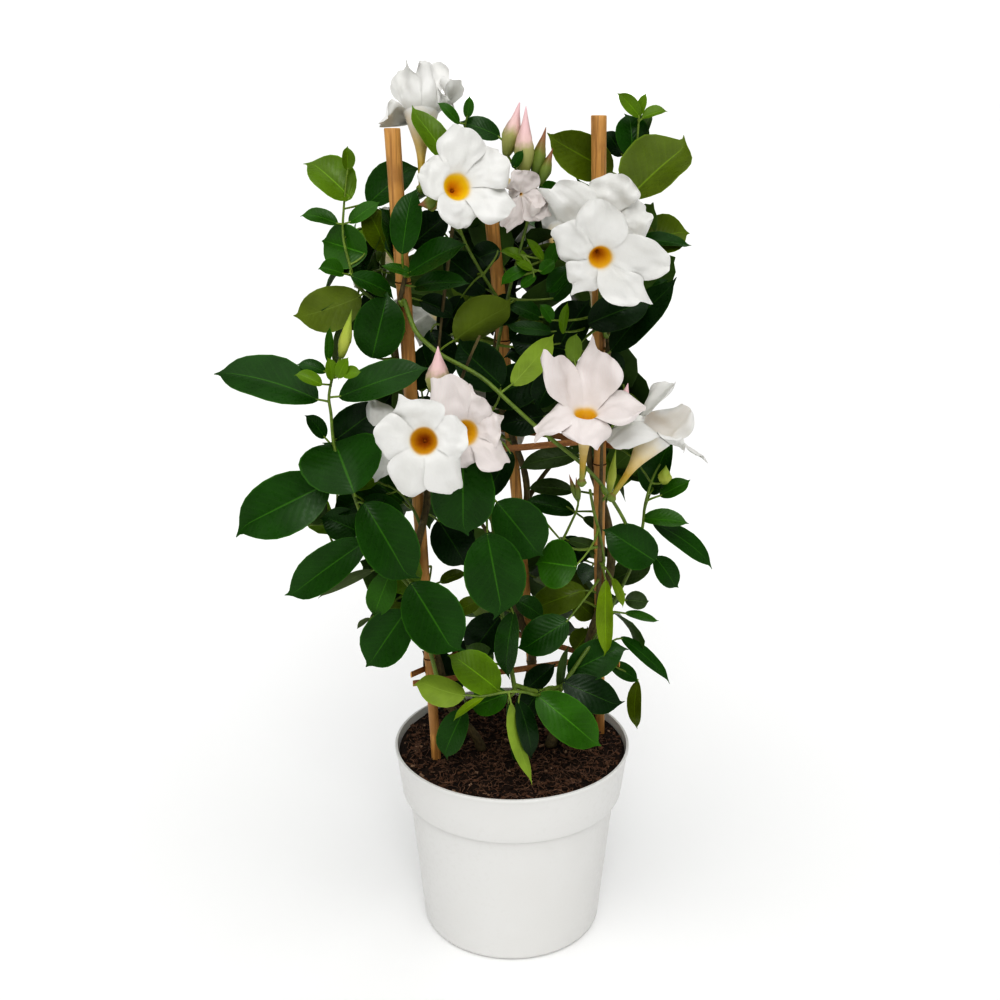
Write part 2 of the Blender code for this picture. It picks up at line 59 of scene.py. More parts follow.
def makeCamera():
    bpy.ops.object.camera_add(location=camera["place"])
    eye = bpy.context.object
    eye.name = "plantCamera"
    eye.rotation_euler = (math.radians(camera["tilt"]), 0.0, 0.0)
    eye.data.lens = camera["lens"]
    eye.data.sensor_width = camera["sensor"]
    eye.data.clip_end = 60.0
    bpy.context.scene.camera = eye
    print("camera placed")


def focalLength():
    # in points of the picture
    return camera["lens"] / camera["sensor"] * camera["frame"]


def sightPoint(across, down, depth):
    # what shows at this place in the picture, at a depth in millimetres
    side = (across - camera["frame"] / 2) / focalLength()
    lift = (camera["frame"] / 2 - down) / focalLength()
    dip = math.radians(90.0 - camera["tilt"])
    ray = Vector((side, math.cos(dip) + lift * math.sin(dip), lift * math.cos(dip) - math.sin(dip)))
    start = Vector(camera["place"])
    return start + ray * ((depth / 1000.0 - start.y) / ray.y)


def inPicture(place):
    # where a point shows in the picture
    scale = focalLength()
    dip = math.radians(90.0 - camera["tilt"])
    away = Vector(place) - Vector(camera["place"])
    reach = away.y * math.cos(dip) - away.z * math.sin(dip)
    lift = away.y * math.sin(dip) + away.z * math.cos(dip)
    half = camera["frame"] / 2
    return half + scale * away.x / reach, half - scale * lift / reach


def towardCamera(place):
    return (Vector(camera["place"]) - place).normalized()


def pictureScale(point):
    # metres to a point of the picture at this distance
    return (point - Vector(camera["place"])).length / focalLength()


# ---- working with pieces ----
def clearSelection():
    bpy.ops.object.select_all(action="DESELECT")


def makeActive(piece):
    clearSelection()
    piece.select_set(True)
    bpy.context.view_layer.objects.active = piece


def startEdit(piece):
    makeActive(piece)
    bpy.ops.object.mode_set(mode="EDIT")
    bpy.ops.mesh.select_mode(type="VERT")
    bpy.ops.mesh.select_all(action="SELECT")


def pickPoints(piece, test):
    shape = bmesh.from_edit_mesh(piece.data)
    for face in shape.faces:
        face.select_set(False)
    for vert in shape.verts:
        vert.select_set(test(vert))
    shape.select_flush(True)
    bmesh.update_edit_mesh(piece.data)


def endEdit():
    bpy.ops.object.mode_set(mode="OBJECT")


def settle(piece):
    # put the place, turn and scale in the mesh
    makeActive(piece)
    bpy.ops.object.transform_apply(location=True, rotation=True, scale=True)


def addModifier(piece, kind, **values):
    makeActive(piece)
    step = piece.modifiers.new(kind.lower(), kind)
    for name, value in values.items():
        setattr(step, name, value)
    bpy.ops.object.modifier_apply(modifier=step.name)


def mendNormals(piece):
    startEdit(piece)
    bpy.ops.mesh.normals_make_consistent(inside=False)
    endEdit()


def smoothByAngle(piece, degrees):
    makeActive(piece)
    bpy.ops.object.shade_smooth_by_angle(angle=math.radians(degrees))


def wearMaterials(piece, *materials):
    piece.data.materials.clear()
    for material in materials:
        piece.data.materials.append(material)


def place(piece, slotName, *nodes):
    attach(piece, "root")
    if nodes:
        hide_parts(*nodes)


def newPiece(name, data):
    piece = bpy.data.objects.new(name, data)
    bpy.context.scene.collection.objects.link(piece)
    return piece


def bowRoute(start, bend, end, count):
    # a line that sets out for the bend and swings round to its end
    shares = [k / count for k in range(count + 1)]
    return [start.lerp(bend, share).lerp(bend.lerp(end, share), share) for share in shares]


def taperRadii(thick, thin, count):
    return [thick + (thin - thick) * k / count for k in range(count + 1)]


def drawUp(name, rows, sides, fill="NGON"):
    # a ring drawn from row to row, each a radius and a height, and left open to edit
    clearSelection()
    bpy.ops.mesh.primitive_circle_add(vertices=sides, radius=rows[0][0], fill_type=fill,
                                      location=(0.0, 0.0, rows[0][1]))
    piece = bpy.context.object
    piece.name = name
    settle(piece)
    startEdit(piece)
    for (thin, low), (thick, high) in zip(rows, rows[1:]):
        bpy.ops.mesh.extrude_region_move(TRANSFORM_OT_translate={"value": (0.0, 0.0, high - low)})
        ratio = thick / thin
        bpy.ops.transform.resize(value=(ratio, ratio, 1.0), center_override=(0.0, 0.0, high))
    return piece


def drawOut(name, route, radii, sides, turn=(0.0, 0.0, 0.0), flat=(1.0, 1.0)):
    # a filled ring drawn out from point to point, like a hand-run extrusion
    clearSelection()
    bpy.ops.mesh.primitive_circle_add(vertices=sides, radius=radii[0], fill_type="NGON",
                                      location=route[0], rotation=turn)
    piece = bpy.context.object
    piece.name = name
    piece.scale = (flat[0], flat[1], 1.0)
    settle(piece)
    startEdit(piece)
    for before, after, thin, thick in zip(route, route[1:], radii, radii[1:]):
        step = Vector(after) - Vector(before)
        bpy.ops.mesh.extrude_region_move(TRANSFORM_OT_translate={"value": step})
        ratio = thick / thin
        if abs(ratio - 1.0) > 1e-4:
            bpy.ops.transform.resize(value=(ratio, ratio, ratio), center_override=after)
    endEdit()
    mendNormals(piece)
    return piece


def curveTubes(name, tubes, sides=1):
    # every tube is one spline of a single curve, made a mesh in one go
    curve = bpy.data.curves.new(name, "CURVE")
    curve.dimensions = "3D"
    curve.bevel_depth = 1.0
    curve.bevel_resolution = sides
    curve.use_fill_caps = True
    for points, radii in tubes:
        spline = curve.splines.new("POLY")
        spline.points.add(len(points) - 1)
        for knot, point, radius in zip(spline.points, points, radii):
            knot.co = (*point, 1.0)
            knot.radius = radius
    makeActive(newPiece(name, curve))
    bpy.ops.object.convert(target="MESH")
    piece = bpy.context.object
    piece.name = name
    piece.data.shade_smooth()
    return piece


# ---- shared material parts ----
def addNode(tree, kind, **values):
    node = tree.nodes.new(kind)
    for name, value in values.items():
        setattr(node, name, value)
    return node


def mathNode(tree, operation, first, second=None):
    node = addNode(tree, "ShaderNodeMath", operation=operation)
    for socket, value in zip(node.inputs, (first, second)):
        if value is None:
            continue
        if isinstance(value, (int, float)):
            socket.default_value = value
        else:
            tree.links.new(value, socket)
    return node.outputs[0]


def times(tree, first, second):
    return mathNode(tree, "MULTIPLY", first, second)


def rangeNode(tree, value, low, high, toLow=0.0, toHigh=1.0):
    node = addNode(tree, "ShaderNodeMapRange", interpolation_type="SMOOTHSTEP")
    for name, number in (("From Min", low), ("From Max", high),
                         ("To Min", toLow), ("To Max", toHigh)):
        node.inputs[name].default_value = number
    tree.links.new(value, node.inputs["Value"])
    return node.outputs["Result"]


def mixColours(tree, mask, first, second):
    node = addNode(tree, "ShaderNodeMix", data_type="RGBA")
    tree.links.new(mask, node.inputs["Factor"])
    for name, value in (("A", first), ("B", second)):
        socket = [s for s in node.inputs if s.name == name and s.type == "RGBA"][0]
        if isinstance(value, tuple):
            socket.default_value = (*value, 1.0)
        else:
            tree.links.new(value, socket)
    return [s for s in node.outputs if s.type == "RGBA"][0]


def startGroup(name, inputs, outputs):
    group = bpy.data.node_groups.new(name, "ShaderNodeTree")
    for label, value in inputs:
        kind = "NodeSocketVector" if isinstance(value, tuple) else "NodeSocketFloat"
        group.interface.new_socket(label, in_out="INPUT", socket_type=kind).default_value = value
    for label in outputs:
        group.interface.new_socket(label, in_out="OUTPUT", socket_type="NodeSocketFloat")
    return group, addNode(group, "NodeGroupInput"), addNode(group, "NodeGroupOutput")


def makeMottleGroup():
    # broad and fine patches on Object coordinates, for every finish that isn't even
    group, given, made = startGroup(
        "mottle", (("Broad Scale", 20.0), ("Fine Scale", 300.0), ("Stretch", (1.0, 1.0, 1.0))),
        ("Broad", "Fine"))
    coordinates = addNode(group, "ShaderNodeTexCoord")
    stretch = addNode(group, "ShaderNodeVectorMath", operation="MULTIPLY")
    group.links.new(coordinates.outputs["Object"], stretch.inputs[0])
    group.links.new(given.outputs["Stretch"], stretch.inputs[1])
    for label, detail in (("Broad", 3.0), ("Fine", 5.0)):
        pattern = addNode(group, "ShaderNodeTexNoise")
        pattern.inputs["Detail"].default_value = detail
        group.links.new(stretch.outputs[0], pattern.inputs["Vector"])
        group.links.new(given.outputs[label + " Scale"], pattern.inputs["Scale"])
        group.links.new(rangeNode(group, pattern.outputs["Fac"], 0.3, 0.7), made.inputs[label])
    return group


def mapParts(group):
    # across and along a blade, tube or bud, on its own map
    bladeMap = addNode(group, "ShaderNodeUVMap", uv_map="bladeMap")
    parts = addNode(group, "ShaderNodeSeparateXYZ")
    group.links.new(bladeMap.outputs["UV"], parts.inputs[0])
    return parts.outputs["X"], parts.outputs["Y"]


def fromHalf(group, value):
    return mathNode(group, "ABSOLUTE", mathNode(group, "SUBTRACT", value, 0.5))


def makeVeinGroup():
    # a midrib that thins toward the tip, slanting side veins, and the blade's margin
    group, given, made = startGroup(
        "veins", (("Count", 16.0), ("Slant", 0.35), ("Rib Width", 0.035)),
        ("Rib", "Veins", "Margin", "Height"))
    across, along = mapParts(group)
    off = fromHalf(group, across)
    thinning = times(group, given.outputs["Rib Width"], rangeNode(group, along, 0.0, 1.0, 1.3, 0.45))
    rib = rangeNode(group, mathNode(group, "DIVIDE", off, thinning), 0.3, 1.0, 1.0, 0.0)
    curl = times(group, mathNode(group, "POWER", off, 0.75), given.outputs["Slant"])
    slanted = mathNode(group, "SUBTRACT", along, curl)
    middle = fromHalf(group, mathNode(group, "FRACT", times(group, slanted, given.outputs["Count"])))
    fade = rangeNode(group, off, 0.30, 0.46, 1.0, 0.0)
    quilt = times(group, rangeNode(group, middle, 0.0, 0.5), fade)
    results = {"Rib": rib, "Veins": times(group, rangeNode(group, middle, 0.0, 0.13, 1.0, 0.0), fade),
               "Margin": rangeNode(group, off, 0.468, 0.492),
               "Height": mathNode(group, "SUBTRACT", quilt, times(group, rib, 1.2))}
    for label, value in results.items():
        group.links.new(value, made.inputs[label])
    return group


def makeAlongGroup():
    group, _, made = startGroup("along", (), ("Along",))
    group.links.new(mapParts(group)[1], made.inputs["Along"])
    return group


mottleGroup = makeMottleGroup()
veinGroup = makeVeinGroup()
alongGroup = makeAlongGroup()


def startMaterial(name, roughness, **constants):
    material = bpy.data.materials.new(name)
    material.use_nodes = True
    tree = material.node_tree
    shader = tree.nodes["Principled BSDF"]
    shader.inputs["Roughness"].default_value = roughness
    for label, value in constants.items():
        shader.inputs[label].default_value = value
    return material, tree, shader


def addGroup(tree, group, *values):
    # a shared group, its inputs set in their order
    node = addNode(tree, "ShaderNodeGroup", node_tree=group)
    for socket, value in zip(node.inputs, values):
        socket.default_value = value
    return node


def addMottle(tree, broad, fine, stretch=(1.0, 1.0, 1.0)):
    return addGroup(tree, mottleGroup, broad, fine, stretch)


def dress(tree, shader, colour, grain, rough, relief, strength, distance, low=0.0):
    # every finish ends with a colour, a roughness that follows the grain, and relief
    tree.links.new(colour, shader.inputs["Base Color"])
    tree.links.new(rangeNode(tree, grain, low, 1.0, *rough), shader.inputs["Roughness"])
    bump = addNode(tree, "ShaderNodeBump")
    bump.inputs["Strength"].default_value = strength
    bump.inputs["Distance"].default_value = distance
    tree.links.new(relief, bump.inputs["Height"])
    tree.links.new(bump.outputs["Normal"], shader.inputs["Normal"])


def grainMaterial(name, darkColour, paleColour, roughness, broad, fine,
                  stretch=(1.0, 1.0, 1.0), bump=0.3, relief=0.0004, rough=0.12):
    # two tones mixed by broad patches and fine grain, with the grain as relief
    material, tree, shader = startMaterial(name, roughness)
    mottle = addMottle(tree, broad, fine, stretch)
    grain = mottle.outputs["Fine"]
    both = mathNode(tree, "ADD", times(tree, mottle.outputs["Broad"], 0.55), times(tree, grain, 0.45))
    dress(tree, shader, mixColours(tree, both, darkColour, paleColour), grain,
          (roughness - rough, roughness + rough), grain, bump, relief)
    return material


# ---- planter ----
planter = {
    "rim": 0.115, "height": 0.1925, "foot": 0.0886, "wall": 0.0026,
    "bandHeight": 0.0495, "bandStep": 0.0065, "taper": 0.0132,
    "footRound": 0.006, "lipDepth": 0.0036, "lipStep": 0.0010, "sides": 144,
    # small steps of the profile, each outward and up from a corner
    "bandEdge": ((-0.0018, 0.0001), (-0.0006, 0.0006), (0.0, 0.0020)),
    "lipEdge": ((-0.0001, 0.0004), (0.0, 0.0011)),
    "rimEdge": ((0.0, -0.0010), (-0.0004, -0.0003), (-0.0011, 0.0)),
    "innerEdge": ((0.0, -0.0002), (-0.0004, -0.0012)),
    "tone": (0.765, 0.76, 0.742), "stain": (0.60, 0.575, 0.53), "roughness": 0.38,
}


def planterProfile():
    # radius and height, from the edge of the underside round the lip to the inner floor
    rim, top, foot, wall = (planter[k] for k in ("rim", "height", "foot", "wall"))
    bandFoot = top - planter["bandHeight"]
    lipFoot = top - planter["lipDepth"]
    wallTop = foot + planter["taper"]
    band = wallTop + planter["bandStep"]
    bandRound = planter["bandEdge"][-1][1]
    turn = planter["footRound"]
    rows = []
    for step in range(6):
        angle = math.pi / 2 * step / 5
        rows.append((foot - turn + turn * math.sin(angle), turn - turn * math.cos(angle)))
    rows += [(foot + planter["taper"] * share, turn + (bandFoot - turn) * share)
             for share in (0.25, 0.5, 0.75, 0.97)]
    rows.append((wallTop, bandFoot))
    rows += [(band + out, bandFoot + up) for out, up in planter["bandEdge"]]
    flare = rim - planter["lipStep"] - band
    rows += [(band + flare * share, bandFoot + bandRound + (lipFoot - bandFoot - bandRound) * share)
             for share in (0.33, 0.66, 1.0)]
    for radius, height, edge in ((rim, lipFoot, "lipEdge"), (rim, top, "rimEdge"),
                                 (rim - wall, top, "innerEdge")):
        rows += [(radius + out, height + up) for out, up in planter[edge]]
    rows += [(band - wall, bandFoot + 0.004), (wallTop - wall, bandFoot + 0.001),
             (foot - wall, turn + wall), (foot - wall - turn * 0.6, wall)]
    return rows


def makePlanter():
    pot = drawUp("planter", planterProfile(), planter["sides"])
    endEdit()
    mendNormals(pot)
    smoothByAngle(pot, 32)
    wearMaterials(pot, planterPlastic())
    place(pot, "planter_plastic", "pot")
    print("planter moulded")


def planterPlastic():
    material, tree, shader = startMaterial("planterPlastic", planter["roughness"])
    mottle = addMottle(tree, 9.0, 950.0)
    scuff = addMottle(tree, 60.0, 240.0)
    faint = rangeNode(tree, mottle.outputs["Broad"], 0.0, 1.0, 0.0, 0.10)
    scuffed = times(tree, rangeNode(tree, scuff.outputs["Fine"], 0.62, 1.0), 0.07)
    dirt = mathNode(tree, "MAXIMUM", faint, scuffed)
    rough = (planter["roughness"] - 0.05, planter["roughness"] + 0.14)
    dress(tree, shader, mixColours(tree, dirt, planter["tone"], planter["stain"]), scuff.outputs["Fine"],
          rough, mottle.outputs["Fine"], 0.10, 0.0002, low=0.2)
    return material


# ---- compost ----
compost = {
    # stems and canes are measured from the level, and the surface shows a little above it
    "level": 0.182, "surface": 0.1850, "mound": 0.0030, "edge": 0.0006, "rings": 26, "sides": 120,
    "rippleScale": 42.0, "rippleHeight": 0.0022, "crumbScale": 170.0, "crumbHeight": 0.0056,
    "chips": 3000, "chipSize": (0.0018, 0.0056), "chipTones": (0.52, 0.43, 0.05), "fullSize": 0.6,
    "chipRoom": 0.003,
    "fibres": 1000, "fibreLength": (0.005, 0.020), "fibreRadius": (0.00026, 0.00058), "fibrePoints": 7,
    "dark": (0.0060, 0.0030, 0.0016), "brown": (0.056, 0.026, 0.0135),
    "red": (0.190, 0.095, 0.052), "pale": (0.40, 0.28, 0.19), "fibre": (0.260, 0.145, 0.088),
}


def innerRadius(height):
    bandFoot = planter["height"] - planter["bandHeight"]
    band = planter["foot"] + planter["taper"] + planter["bandStep"] - planter["wall"]
    share = (height - bandFoot - 0.004) / (planter["height"] - bandFoot - 0.005)
    return band + (planter["rim"] - 0.0004 - planter["wall"] - band) * share


def compostTop(x, y):
    # a low uneven mound
    reach = math.hypot(x, y) / (planter["rim"] - planter["wall"])
    ripple = noise.noise(Vector((x, y, 0.0)) * compost["rippleScale"]) * compost["rippleHeight"]
    return (compost["surface"] + compost["mound"] * (1.0 - reach * reach)
            + ripple * min(1.0, 3.0 * (1.0 - reach)))


def soilHeight(x, y):
    # the mound with its crumbs
    fine = noise.fractal(Vector((x, y, 0.0)) * compost["crumbScale"], 0.9, 2.1, 3)
    return compostTop(x, y) + fine * compost["crumbHeight"] * 0.5


def spotWithin(edge, rng, share=1.0):
    # a place anywhere on the round surface
    reach = edge * math.sqrt(rng.random()) * share
    angle = rng.uniform(0.0, 2.0 * math.pi)
    return reach * math.cos(angle), reach * math.sin(angle)


def makeCompost():
    edge = innerRadius(compost["surface"]) - compost["edge"]
    floor = planter["foot"] - planter["wall"] - planter["footRound"]
    bandFoot = planter["height"] - planter["bandHeight"]
    wallTop = planter["foot"] + planter["taper"] - planter["wall"] - compost["edge"]
    rows = [(floor, planter["wall"] + 0.0004),
            (planter["foot"] - planter["wall"] - compost["edge"], planter["footRound"] + planter["wall"]),
            (wallTop, bandFoot), (innerRadius(bandFoot + 0.004) - compost["edge"], bandFoot + 0.0045),
            (edge, compost["surface"])]
    soil = drawUp("compost", rows, compost["sides"])
    for _ in range(compost["rings"] - 1):
        bpy.ops.mesh.inset(thickness=edge / compost["rings"])
    bpy.ops.mesh.poke()
    endEdit()
    mendNormals(soil)
    for vert in soil.data.vertices:
        reach = math.hypot(vert.co.x, vert.co.y)
        if vert.co.z > compost["surface"] - 0.0001:
            fade = min(1.0, (edge - reach) / 0.004)
            height = soilHeight(vert.co.x, vert.co.y)
            vert.co.z = compost["surface"] + (height - compost["surface"]) * fade
    soil.data.shade_smooth()
    wearMaterials(soil, grainMaterial("darkPeat", compost["dark"], compost["brown"], 0.92, 90.0, 900.0,
                                      bump=0.9, relief=0.0012, rough=0.06))
    place(soil, "potting_soil", "root_ball")
    print("compost filled in")


def makeChips(rng):
    # one rough lump, copied and turned all over the surface in three tones
    clearSelection()
    bpy.ops.mesh.primitive_cube_add(size=1.0)
    lump = bpy.context.object
    startEdit(lump)
    bpy.ops.mesh.subdivide(number_cuts=1)
    bpy.ops.transform.vertex_random(offset=0.16, seed=4)
    endEdit()
    shape = takeShape(lump)
    copies = []
    edge = innerRadius(compost["surface"]) - compost["chipRoom"]
    for _ in range(compost["chips"]):
        x, y = spotWithin(edge, rng)
        size = rng.uniform(*compost["chipSize"])
        size = size if rng.random() < compost["fullSize"] else size * 0.55
        stretch = Matrix.Diagonal((size, size * rng.uniform(0.35, 0.7), size * rng.uniform(0.2, 0.45)))
        turn = Matrix.Rotation(rng.uniform(0.0, math.pi), 3, "Z")
        turn = turn @ Matrix.Rotation(rng.uniform(-0.6, 0.6), 3, "X")
        turn = turn @ Matrix.Rotation(rng.uniform(-0.5, 0.5), 3, "Y")
        spin = np.array(turn @ stretch)
        lift = soilHeight(x, y) + size * 0.10
        tone = rng.choices((0, 1, 2), compost["chipTones"])[0]
        copies.append((shape, shape["points"] @ spin.T + np.array((x, y, lift)), tone))
    materials = [grainMaterial(name, compost[dark], compost[pale], rough, 200.0, 1400.0)
                 for name, dark, pale, rough in (("darkChip", "dark", "brown", 0.85),
                                                 ("redChip", "brown", "red", 0.80),
                                                 ("paleChip", "red", "pale", 0.75))]
    chips = joinCopies("barkChips", copies, materials)
    chips.data.shade_flat()
    place(chips, "potting_soil")
    scatterFibres(edge, rng)
    print("chips and fibres scattered")


def scatterFibres(edge, rng):
    fibres = []
    for _ in range(compost["fibres"]):
        point = Vector((*spotWithin(edge, rng, 0.96), 0.0))
        heading = rng.uniform(0.0, 2.0 * math.pi)
        length = rng.uniform(*compost["fibreLength"])
        points = []
        for _ in range(compost["fibrePoints"]):
            point.z = soilHeight(point.x, point.y) + rng.uniform(0.0006, 0.0018)
            points.append(point.copy())
            heading += rng.uniform(-0.8, 0.8)
            step = Vector((math.cos(heading), math.sin(heading), 0.0)) * length
            point += step / (compost["fibrePoints"] - 1)
            if math.hypot(point.x, point.y) > edge:
                break
        if len(points) > 2:
            radius = rng.uniform(*compost["fibreRadius"])
            fibres.append((points, [radius] * len(points)))
    threads = curveTubes("barkFibres", fibres, 0)
    bark = grainMaterial("barkFibre", compost["brown"], compost["fibre"], 0.55, 160.0, 900.0)
    wearMaterials(threads, bark)
    place(threads, "potting_soil")


# ---- copies made from arrays ----
def readShape(piece):
    mesh = piece.data
    shape = {"points": np.empty(len(mesh.vertices) * 3), "map": np.zeros(len(mesh.loops) * 2)}
    mesh.vertices.foreach_get("co", shape["points"])
    shape["points"] = shape["points"].reshape(-1, 3)
    for name, items, label in (("corners", mesh.loops, "vertex_index"),
                               ("starts", mesh.polygons, "loop_start"),
                               ("slots", mesh.polygons, "material_index")):
        shape[name] = np.empty(len(items), int)
        items.foreach_get(label, shape[name])
    if mesh.uv_layers:
        mesh.uv_layers[0].data.foreach_get("uv", shape["map"])
    return shape


def takeShape(piece):
    shape = readShape(piece)
    bpy.data.objects.remove(piece)
    return shape


def joinCopies(name, items, materials, sharp=None):
    # every item is a shape, its points in this copy, and the first of its materials
    corners, starts, slots, maps = [], [], [], []
    pointCount = cornerCount = 0
    for shape, points, slot in items:
        corners.append(shape["corners"] + pointCount)
        starts.append(shape["starts"] + cornerCount)
        slots.append(shape["slots"] + slot)
        maps.append(shape["map"])
        pointCount += len(points)
        cornerCount += len(shape["corners"])
    mesh = bpy.data.meshes.new(name)
    mesh.vertices.add(pointCount)
    mesh.vertices.foreach_set("co", np.concatenate([points for _, points, _ in items]).ravel())
    mesh.loops.add(cornerCount)
    mesh.loops.foreach_set("vertex_index", np.concatenate(corners))
    mesh.polygons.add(sum(len(part) for part in starts))
    mesh.polygons.foreach_set("loop_start", np.concatenate(starts))
    mesh.uv_layers.new(name="bladeMap").data.foreach_set("uv", np.concatenate(maps))
    for material in materials:
        mesh.materials.append(material)
    mesh.polygons.foreach_set("material_index", np.concatenate(slots))
    mesh.update(calc_edges=True)
    mesh.validate()
    mesh.shade_smooth()
    if sharp:
        mesh.set_sharp_from_angle(angle=math.radians(sharp))
    return newPiece(name, mesh)


# ---- climbing frame ----
canes = {
    "soil": {"left": (-0.073, -0.027), "right": (0.089, 0.026), "back": (0.026, 0.076)},
    "top": {"left": (-0.101, -0.030, 0.773), "right": (0.0735, 0.022, 0.782),
            "back": (-0.024, 0.070, 0.742)},
    "foot": {"left": 0.070, "right": 0.147, "back": 0.080},
    "knot": {"left": 0.63, "right": 0.60, "back": 0.36},
    "joints": 3.35, "knots": 3,
    "footRadius": 0.0046, "topRadius": 0.0068, "sides": 28, "step": 0.011,
    "ridge": 1.12, "ridgeHalf": 0.0035, "groove": 0.955,
    "dark": (0.190, 0.075, 0.018), "tan": (0.66, 0.352, 0.108), "pale": (0.78, 0.475, 0.185),
    "ring": (0.05, 0.02, 0.008), "along": (1.0, 1.0, 0.035), "rim": 0.0006,
}


def canePoint(name, height):
    foot = Vector((*canes["soil"][name], compost["level"]))
    top = Vector(canes["top"][name])
    return foot.lerp(top, (height - foot.z) / (top.z - foot.z))


def caneRadius(name, height):
    top = canes["top"][name][2]
    share = min(max((height - compost["level"]) / (top - compost["level"]), 0.0), 1.0)
    return canes["footRadius"] + (canes["topRadius"] - canes["footRadius"]) * share


def caneKnots(name):
    top = canes["top"][name][2]
    spacing = (top - compost["level"]) / canes["joints"]
    return [compost["level"] + spacing * (k + canes["knot"][name]) for k in range(canes["knots"])]


def knotProfile():
    # heights over a knot and how much wider the cane is there
    half, ridge = canes["ridgeHalf"], canes["ridge"]
    return ((-half, 1.0), (-half * 0.45, ridge), (-half * 0.1, ridge), (0.0, canes["groove"]),
            (half * 0.14, canes["groove"]), (half * 0.3, ridge - 0.03), (half, 1.0))


def makeCane(name, bamboo, ring, cut):
    top = canes["top"][name][2]
    foot = canes["foot"][name]
    half = canes["ridgeHalf"]
    count = round((top - foot) / canes["step"])
    heights = [foot + (top - foot) * k / count for k in range(count + 1)]
    knots = caneKnots(name)
    heights = [h for h in heights if all(abs(h - k) > half * 1.6 for k in knots)]
    shares = {}
    for knot in knots:
        for off, share in knotProfile():
            shares[knot + off] = share
    heights = sorted(heights + list(shares))
    heights = [h for h in heights if h < top - canes["rim"]] + [top - canes["rim"], top]
    route = []
    radii = []
    for height in heights:
        wander = Vector((noise.noise(Vector((height * 9.0, len(name), 0.0))),
                         noise.noise(Vector((height * 9.0, len(name), 7.0))), 0.0)) * 0.0008
        route.append(canePoint(name, height) + wander)
        share = shares.get(height, 1.0 + 0.025 * noise.noise(Vector((height * 22.0, 3.0, len(name)))))
        radii.append(caneRadius(name, height) * share)
    radii[-1] -= 0.0004
    cane = drawOut("cane_" + name, route, radii, canes["sides"])
    wearMaterials(cane, bamboo, ring, cut)
    for face in cane.data.polygons:
        height = face.center.z
        if face.normal.z > 0.9 and height > top - 0.001:
            face.material_index = 2
        elif any(-half * 0.15 < height - k < half * 0.16 for k in knots):
            face.material_index = 1
    smoothByAngle(cane, 40)
    place(cane, "bamboo", "frame_cane_" + name)


def cutMaterial(name):
    return grainMaterial(name, canes["tan"], canes["pale"], 0.8, 500.0, 2200.0)


def makeCanes():
    bamboo = bambooMaterial("bamboo", canes["tan"], canes["dark"], canes["pale"], canes["along"])
    ring = grainMaterial("bambooRing", canes["ring"], canes["dark"], 0.7, 80.0, 700.0)
    cut = cutMaterial("bambooCut")
    for name in canes["soil"]:
        makeCane(name, bamboo, ring, cut)
    print("canes standing")


def bambooMaterial(name, tan, dark, pale, stretch):
    # streaks run with the fibres, dark stains lie across them
    material, tree, shader = startMaterial(name, 0.42)
    streaks = addMottle(tree, 260.0, 1500.0, stretch)
    patches = addMottle(tree, 24.0, 130.0)
    grain = streaks.outputs["Fine"]
    stained = times(tree, rangeNode(tree, patches.outputs["Broad"], 0.35, 1.0), 0.45)
    streaked = times(tree, rangeNode(tree, streaks.outputs["Broad"], 0.35, 0.95), 0.55)
    colour = mixColours(tree, times(tree, rangeNode(tree, grain, 0.4, 1.0), 0.45), tan, pale)
    colour = mixColours(tree, mathNode(tree, "MAXIMUM", stained, streaked), colour, dark)
    dress(tree, shader, colour, grain, (0.36, 0.58), grain, 0.35, 0.0004)
    return material


rungs = {
    "levels": {"low": 0.272, "middle": 0.494},
    "bows": {"low": 0.0012, "middle": 0.0040},
    "sides": {"front": ("left", "right", 0), "left": ("back", "left", 1), "right": ("right", "back", -1)},
    "sideStep": 0.008, "thick": 0.0020, "width": 0.0062, "overhang": 0.019, "gap": 0.0003,
    "stations": 26, "wave": 0.0004,
    "bamboo": {"splitBamboo": ((0.36, 0.165, 0.060), (0.035, 1.0, 1.0)),
               "splitBambooBack": ((0.30, 0.140, 0.052), (0.2, 0.2, 1.0))},
}


def makeRung(level, side, bamboo, cut):
    first, second, step = rungs["sides"][side]
    height = rungs["levels"][level] + step * rungs["sideStep"]
    start, end = canePoint(first, height), canePoint(second, height)
    outward = (end - start).cross(Vector((0.0, 0.0, 1.0))).normalized()
    start += outward * (caneRadius(first, height) + rungs["gap"] + rungs["thick"] / 2)
    end += outward * (caneRadius(second, height) + rungs["gap"] + rungs["thick"] / 2)
    past = rungs["overhang"] / (end - start).length
    route = []
    for k in range(rungs["stations"] + 1):
        share = -past + (1.0 + 2.0 * past) * k / rungs["stations"]
        bow = max(math.sin(math.pi * share), 0.0) * rungs["bows"][level]
        wave = noise.noise(Vector((share * 5.0, height * 40.0, len(side)))) * rungs["wave"]
        route.append(start + (end - start) * share + outward * bow + Vector((0.0, 0.0, wave)))
    heading = math.atan2((end - start).y, (end - start).x)
    wide = [1.0 + 0.05 * noise.noise(Vector((k * 0.4, height * 30.0, 1.0))) for k in range(len(route))]
    strip = drawOut("rung_" + level + "_" + side, route, [rungs["width"] / 2 * w for w in wide], 12,
                    turn=(math.radians(90.0), 0.0, heading + math.radians(90.0)),
                    flat=(rungs["thick"] / rungs["width"], 1.0))
    wearMaterials(strip, bamboo, cut)
    along = (end - start).normalized()
    for face in strip.data.polygons:
        if abs(face.normal.dot(along)) > 0.9:
            face.material_index = 1
    smoothByAngle(strip, 50)
    place(strip, "bamboo", "frame_rung_" + level + "_" + side)


